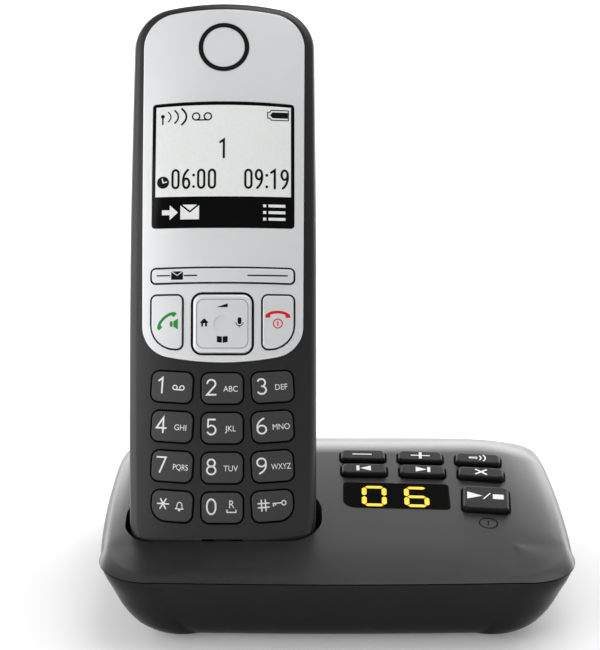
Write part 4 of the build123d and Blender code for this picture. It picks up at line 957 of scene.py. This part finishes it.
lit = Drawing()
lit.stroke([(-15.95, 103.4), (-15.75, 102.35), (-14.8, 102.6)], 0.28)
lit.box(-14.9, BAR_V, 2.1, 1.3)
lit.polygon([(-13.9, BAR_V - 1.95), (-11.75, BAR_V), (-13.9, BAR_V + 1.95)])
envelope(lit, -8.65, BAR_V + 0.1, 4.9, 3.9, 0.55)
for k in (-1, 0, 1):
    lit.box(10.9, BAR_V + 1.75 * k, 0.8, 0.75)
    lit.box(14.1, BAR_V + 1.75 * k, 4.4, 0.75)
lay(lit, "display_marks", on_face(LENS_PROUD + 3 * INK), "handset", PALE_PANEL)

# ---------------------------------------------------------------- base legends
BASE_KEY_PROUD = 1.2
BASE_KEY_GAP = 0.35
BASE_KEY_CORNER = 1.6
BACK_ROW = 10.55
FRONT_ROW = 3.1
LEFT_COLUMN = 8.7
MIDDLE_COLUMN = 24.8
RIGHT_COLUMN = 40.9
PLAY_KEY = (40.7, -9.9)
WINDOW = (16.8, -9.05)
SMALL_KEY_SIZE = (12.4, 5.5)
PLAY_KEY_SIZE = (12.3, 11.5)

minus = Drawing()
minus.box(-0.25, 0.05, 5.4, 0.5)

plus = Drawing()
plus.box(0, 0, 5.3, 0.5)
plus.box(0, 0.95, 0.8, 1.4)
plus.box(0, -0.95, 0.8, 1.4)

waves = Drawing()
waves.stroke([(-2.1, 0), (-1.2, 0)], 1.0)
for k in range(3):
    reach = 0.75 + 0.75 * k
    waves.stroke(arc(-1.1 + 0.45 * k, 0, reach, reach, -42, 42, 12), 0.42)

skip_back, skip_forward = Drawing(), Drawing()
for drawing, side in ((skip_back, -1), (skip_forward, 1)):
    drawing.box(side * 1.75, 0, 0.85, 2.6)
    drawing.polygon([(side * 1.15, 0), (-side * 1.85, 1.3), (-side * 1.85, -1.3)][::side])

cross = Drawing()
for line in ([(-1.6, -1.3), (1.6, 1.3)], [(-1.6, 1.3), (-0.25, 0.2)], [(0.25, -0.2), (1.6, -1.3)]):
    cross.stroke(line, 0.6, round_ends=False)

play_stop = Drawing()
play_stop.polygon([(-5.0, -1.1), (-0.9, 0.65), (-5.0, 2.4)])
play_stop.stroke([(-0.7, -0.95), (1.2, 2.15)], 0.36, round_ends=False)
play_stop.box(3.3, 0.5, 2.9, 2.3)

for key, drawing, x, row, size in (
    ("volume_down_key", minus, LEFT_COLUMN, BACK_ROW, SMALL_KEY_SIZE),
    ("volume_up_key", plus, MIDDLE_COLUMN, BACK_ROW, SMALL_KEY_SIZE),
    ("paging_key", waves, RIGHT_COLUMN, BACK_ROW, SMALL_KEY_SIZE),
    ("skip_back_key", skip_back, LEFT_COLUMN, FRONT_ROW, SMALL_KEY_SIZE),
    ("skip_forward_key", skip_forward, MIDDLE_COLUMN, FRONT_ROW, SMALL_KEY_SIZE),
    ("delete_key", cross, RIGHT_COLUMN, FRONT_ROW, SMALL_KEY_SIZE),
    ("play_stop_key", play_stop, *PLAY_KEY, PLAY_KEY_SIZE),
):
    seat = control_seat(x, row)
    opening = [side + 2 * BASE_KEY_GAP for side in size]
    paint_gap_shade(key, seat, on_crown, 0, opening, [BASE_KEY_CORNER] * 4, BASE_KEY_GAP - CLEAR, "base")
    lay(drawing.moved(seat), key + "_legend", on_crown(BASE_KEY_PROUD + INK), key, WHITE_INK)

power = Drawing()
power.ring(0, 0, 2.35, 0.42)
power.stroke([(0, -0.9), (0, 0.9)], 0.42)
power_seat = turned(40.14, -22.6, -5)
lay(power.moved(power_seat), "power_sign", on_crown(INK), "base", DARK_INK)

# ---------------------------------------------------------------- message display
WINDOW_WIDTH = 28.4
WINDOW_DEPTH = 12.3
WINDOW_CORNERS = (3.5, 1.0, 1.0, 1.0)
EDGE_OUT = 0.25                 # the painted shade round the window's gap reaches this far on to the shell
EDGE_IN = 0.05

window_seat = control_seat(*WINDOW)
# Painted shade: black band over the shaded gap round the window.
edge_corners = [corner + EDGE_OUT for corner in WINDOW_CORNERS]
window_gap_shade = Drawing()
window_gap_shade.band(rounded_box(WINDOW_WIDTH + 2 * EDGE_OUT, WINDOW_DEPTH + 2 * EDGE_OUT, edge_corners),
                 rounded_box(WINDOW_WIDTH - 2 * EDGE_IN, WINDOW_DEPTH - 2 * EDGE_IN, WINDOW_CORNERS))
lay(window_gap_shade.moved(window_seat), "window_gap_shade", on_crown(INK), "base", PAINTED_GAP_SHADE)

SEGMENT_WIDTH = 1.3
SEGMENT_GAP = 0.2
DIGIT_WIDTH = 5.4
DIGIT_REACH = 4.4
SEGMENTS = {"0": "abcdef", "6": "acdefg"}


def segment_bar(drawing, x, y, length, upright):
    """One bar of a seven-segment figure, pointed at both ends."""
    w = SEGMENT_WIDTH / 2
    reach = length / 2 - SEGMENT_GAP
    outline = [(-reach, 0), (-reach + w, -w), (reach - w, -w), (reach, 0), (reach - w, w), (-reach + w, w)]
    if upright:
        outline = [(-py, px) for px, py in outline]
    drawing.polygon([(x + px, y + py) for px, py in outline])


def seven_segments(drawing, sign, x, y):
    """Figure made up of its lit bars."""
    half = DIGIT_WIDTH / 2
    bars = {
        "a": (0, DIGIT_REACH, False), "g": (0, 0, False), "d": (0, -DIGIT_REACH, False),
        "f": (-half, DIGIT_REACH / 2, True), "b": (half, DIGIT_REACH / 2, True),
        "e": (-half, -DIGIT_REACH / 2, True), "c": (half, -DIGIT_REACH / 2, True),
    }
    for label in SEGMENTS[sign]:
        dx, dy, upright = bars[label]
        segment_bar(drawing, x + dx, y + dy, DIGIT_REACH if upright else DIGIT_WIDTH, upright)


count_display = Drawing()
seven_segments(count_display, "0", -5.95, -0.3)
seven_segments(count_display, "6", 5.5, -0.3)
lay(count_display.moved(window_seat), "message_count", on_crown(INK), "base", AMBER)

# ---------------------------------------------------------------- stage, light and camera
FLOOR_HALF = 3.0
FLOOR_GLOW = 0.16
SHADOW_REACH = 0.12             # the floor keeps its plain shading this far from the middle
WORLD_ZENITH = 0.42
WORLD_HORIZON = 1.0
WORLD_FRONT = 0.5               # the studio is darker on the side of the camera
BACKDROP_GLOW = 0.85            # the lit backdrop, low behind the machine
# Parts of the unit direction into the world over which its brightness changes.
HORIZON_RISE = (0.0, 0.55)
FRONT_SPAN = (-0.8, 0.2)
BACKDROP_SPAN = (0.1, 0.8)
BACKDROP_RISE = (0.2, 0.6)


def fade(nodes, links, value, span, low, high):
    """Smooth change from low to high, while the value runs over its span."""
    node = nodes.new("ShaderNodeMapRange")
    node.interpolation_type = "SMOOTHSTEP"
    for label, number in zip(("From Min", "From Max", "To Min", "To Max"), (*span, low, high)):
        node.inputs[label].default_value = number
    links.new(value, node.inputs["Value"])
    return node.outputs["Result"]


def combined(nodes, links, operation, *values):
    """Result of a sum done by the shader."""
    node = nodes.new("ShaderNodeMath")
    node.operation = operation
    for k, value in enumerate(values):
        links.new(value, node.inputs[k])
    return node.outputs["Value"]


def make_floor():
    """White floor that keeps the object's shadow and runs into the background further out."""
    mesh = bpy.data.meshes.new("floor")
    corners = [(x * FLOOR_HALF, y * FLOOR_HALF, 0) for x, y in ((-1, -1), (1, -1), (1, 1), (-1, 1))]
    mesh.from_pydata(corners, [], [(0, 1, 2, 3)])
    floor = add_object("floor", mesh)
    material, nodes, links, shader = new_material("floor")
    shader.inputs["Base Color"].default_value = (0.8, 0.8, 0.8, 1)
    shader.inputs["Roughness"].default_value = 0.9
    shader.inputs["Specular IOR Level"].default_value = 0.1
    shader.inputs["Emission Color"].default_value = (1, 1, 1, 1)
    path = nodes.new("ShaderNodeLightPath").outputs
    seen = combined(nodes, links, "MAXIMUM", path["Is Camera Ray"], path["Is Glossy Ray"])
    where = nodes.new("ShaderNodeTexCoord")
    distance = nodes.new("ShaderNodeVectorMath")
    distance.operation = "LENGTH"
    links.new(where.outputs["Object"], distance.inputs[0])
    spread = fade(nodes, links, distance.outputs["Value"], (SHADOW_REACH, 4 * SHADOW_REACH), FLOOR_GLOW, 1.0)
    links.new(combined(nodes, links, "MULTIPLY", seen, spread), shader.inputs["Emission Strength"])
    mesh.materials.append(material)


def make_world():
    """Pale studio: bright towards the horizon, softer overhead, and plain white behind everything."""
    world = bpy.data.worlds.new("studio")
    bpy.context.scene.world = world
    world.use_nodes = True
    nodes, links = world.node_tree.nodes, world.node_tree.links
    background = nodes["Background"]
    background.inputs["Color"].default_value = (1, 1, 1, 1)
    where = nodes.new("ShaderNodeTexCoord")
    parts = nodes.new("ShaderNodeSeparateXYZ")
    links.new(where.outputs["Generated"], parts.inputs["Vector"])
    ahead, rise = parts.outputs["Y"], parts.outputs["Z"]
    sky = fade(nodes, links, rise, HORIZON_RISE, WORLD_HORIZON, WORLD_ZENITH)
    front = fade(nodes, links, ahead, FRONT_SPAN, WORLD_FRONT, 1.0)
    studio = combined(nodes, links, "MULTIPLY", sky, front)
    behind = fade(nodes, links, ahead, BACKDROP_SPAN, 0.0, BACKDROP_GLOW)
    beneath = fade(nodes, links, rise, BACKDROP_RISE, 1.0, 0.0)
    lit_studio = combined(nodes, links, "MULTIPLY_ADD", behind, beneath, studio)
    path = nodes.new("ShaderNodeLightPath").outputs
    seen = combined(nodes, links, "MAXIMUM", path["Is Camera Ray"], path["Is Transmission Ray"])
    strength = combined(nodes, links, "MAXIMUM", seen, lit_studio)
    links.new(strength, background.inputs["Strength"])


def area_light(name, place, target, size, power, shown):
    """Lit panel at a place, facing a target."""
    light = bpy.data.lights.new(name, "AREA")
    light.shape = "RECTANGLE"
    light.size, light.size_y = size
    light.energy = power
    holder = add_object(name, light)
    holder.visible_camera = shown
    holder.location = place
    holder.rotation_euler = (Vector(target) - Vector(place)).to_track_quat("-Z", "Y").to_euler()


# Panels: place and target in metres, width and height, power in watts, and whether the camera sees them.
LAMPS = {
    "key_light": ((-1.1, -0.55, 0.45), (0, 0, 0.1), (1.4, 1.2), 12, True),
    "top_light": ((0.3, 0.1, 1.0), (0, 0, 0.03), (0.8, 0.8), 5, True),
    "back_light": ((0.03, 0.3, 0.135), (0.03, 0, 0.06), (0.9, 0.14), 1.7, False),
}

FOCAL_PIXELS = 1500             # focal length, in pixels of a picture this high
PICTURE_HEIGHT = 650
SIDE_PIXELS = 15                # the picture's middle lies this far to the right of the camera's axis
SENSOR = 36
CAMERA_PLACE = (-0.0133, -0.38398, 0.18869)
CAMERA_TILT = 17                # degrees down


def make_camera():
    data = bpy.data.cameras.new("camera")
    data.sensor_width = SENSOR
    data.lens = FOCAL_PIXELS * SENSOR / PICTURE_HEIGHT
    data.shift_x = SIDE_PIXELS / PICTURE_HEIGHT
    data.clip_start = 0.01
    camera = add_object("camera", data)
    camera.location = CAMERA_PLACE
    camera.rotation_euler = (radians(90 - CAMERA_TILT), 0, 0)
    bpy.context.scene.camera = camera


make_floor()
make_world()
for lamp_name, settings in LAMPS.items():
    area_light(lamp_name, *settings)
make_camera()
bpy.context.scene.view_settings.view_transform = "Standard"
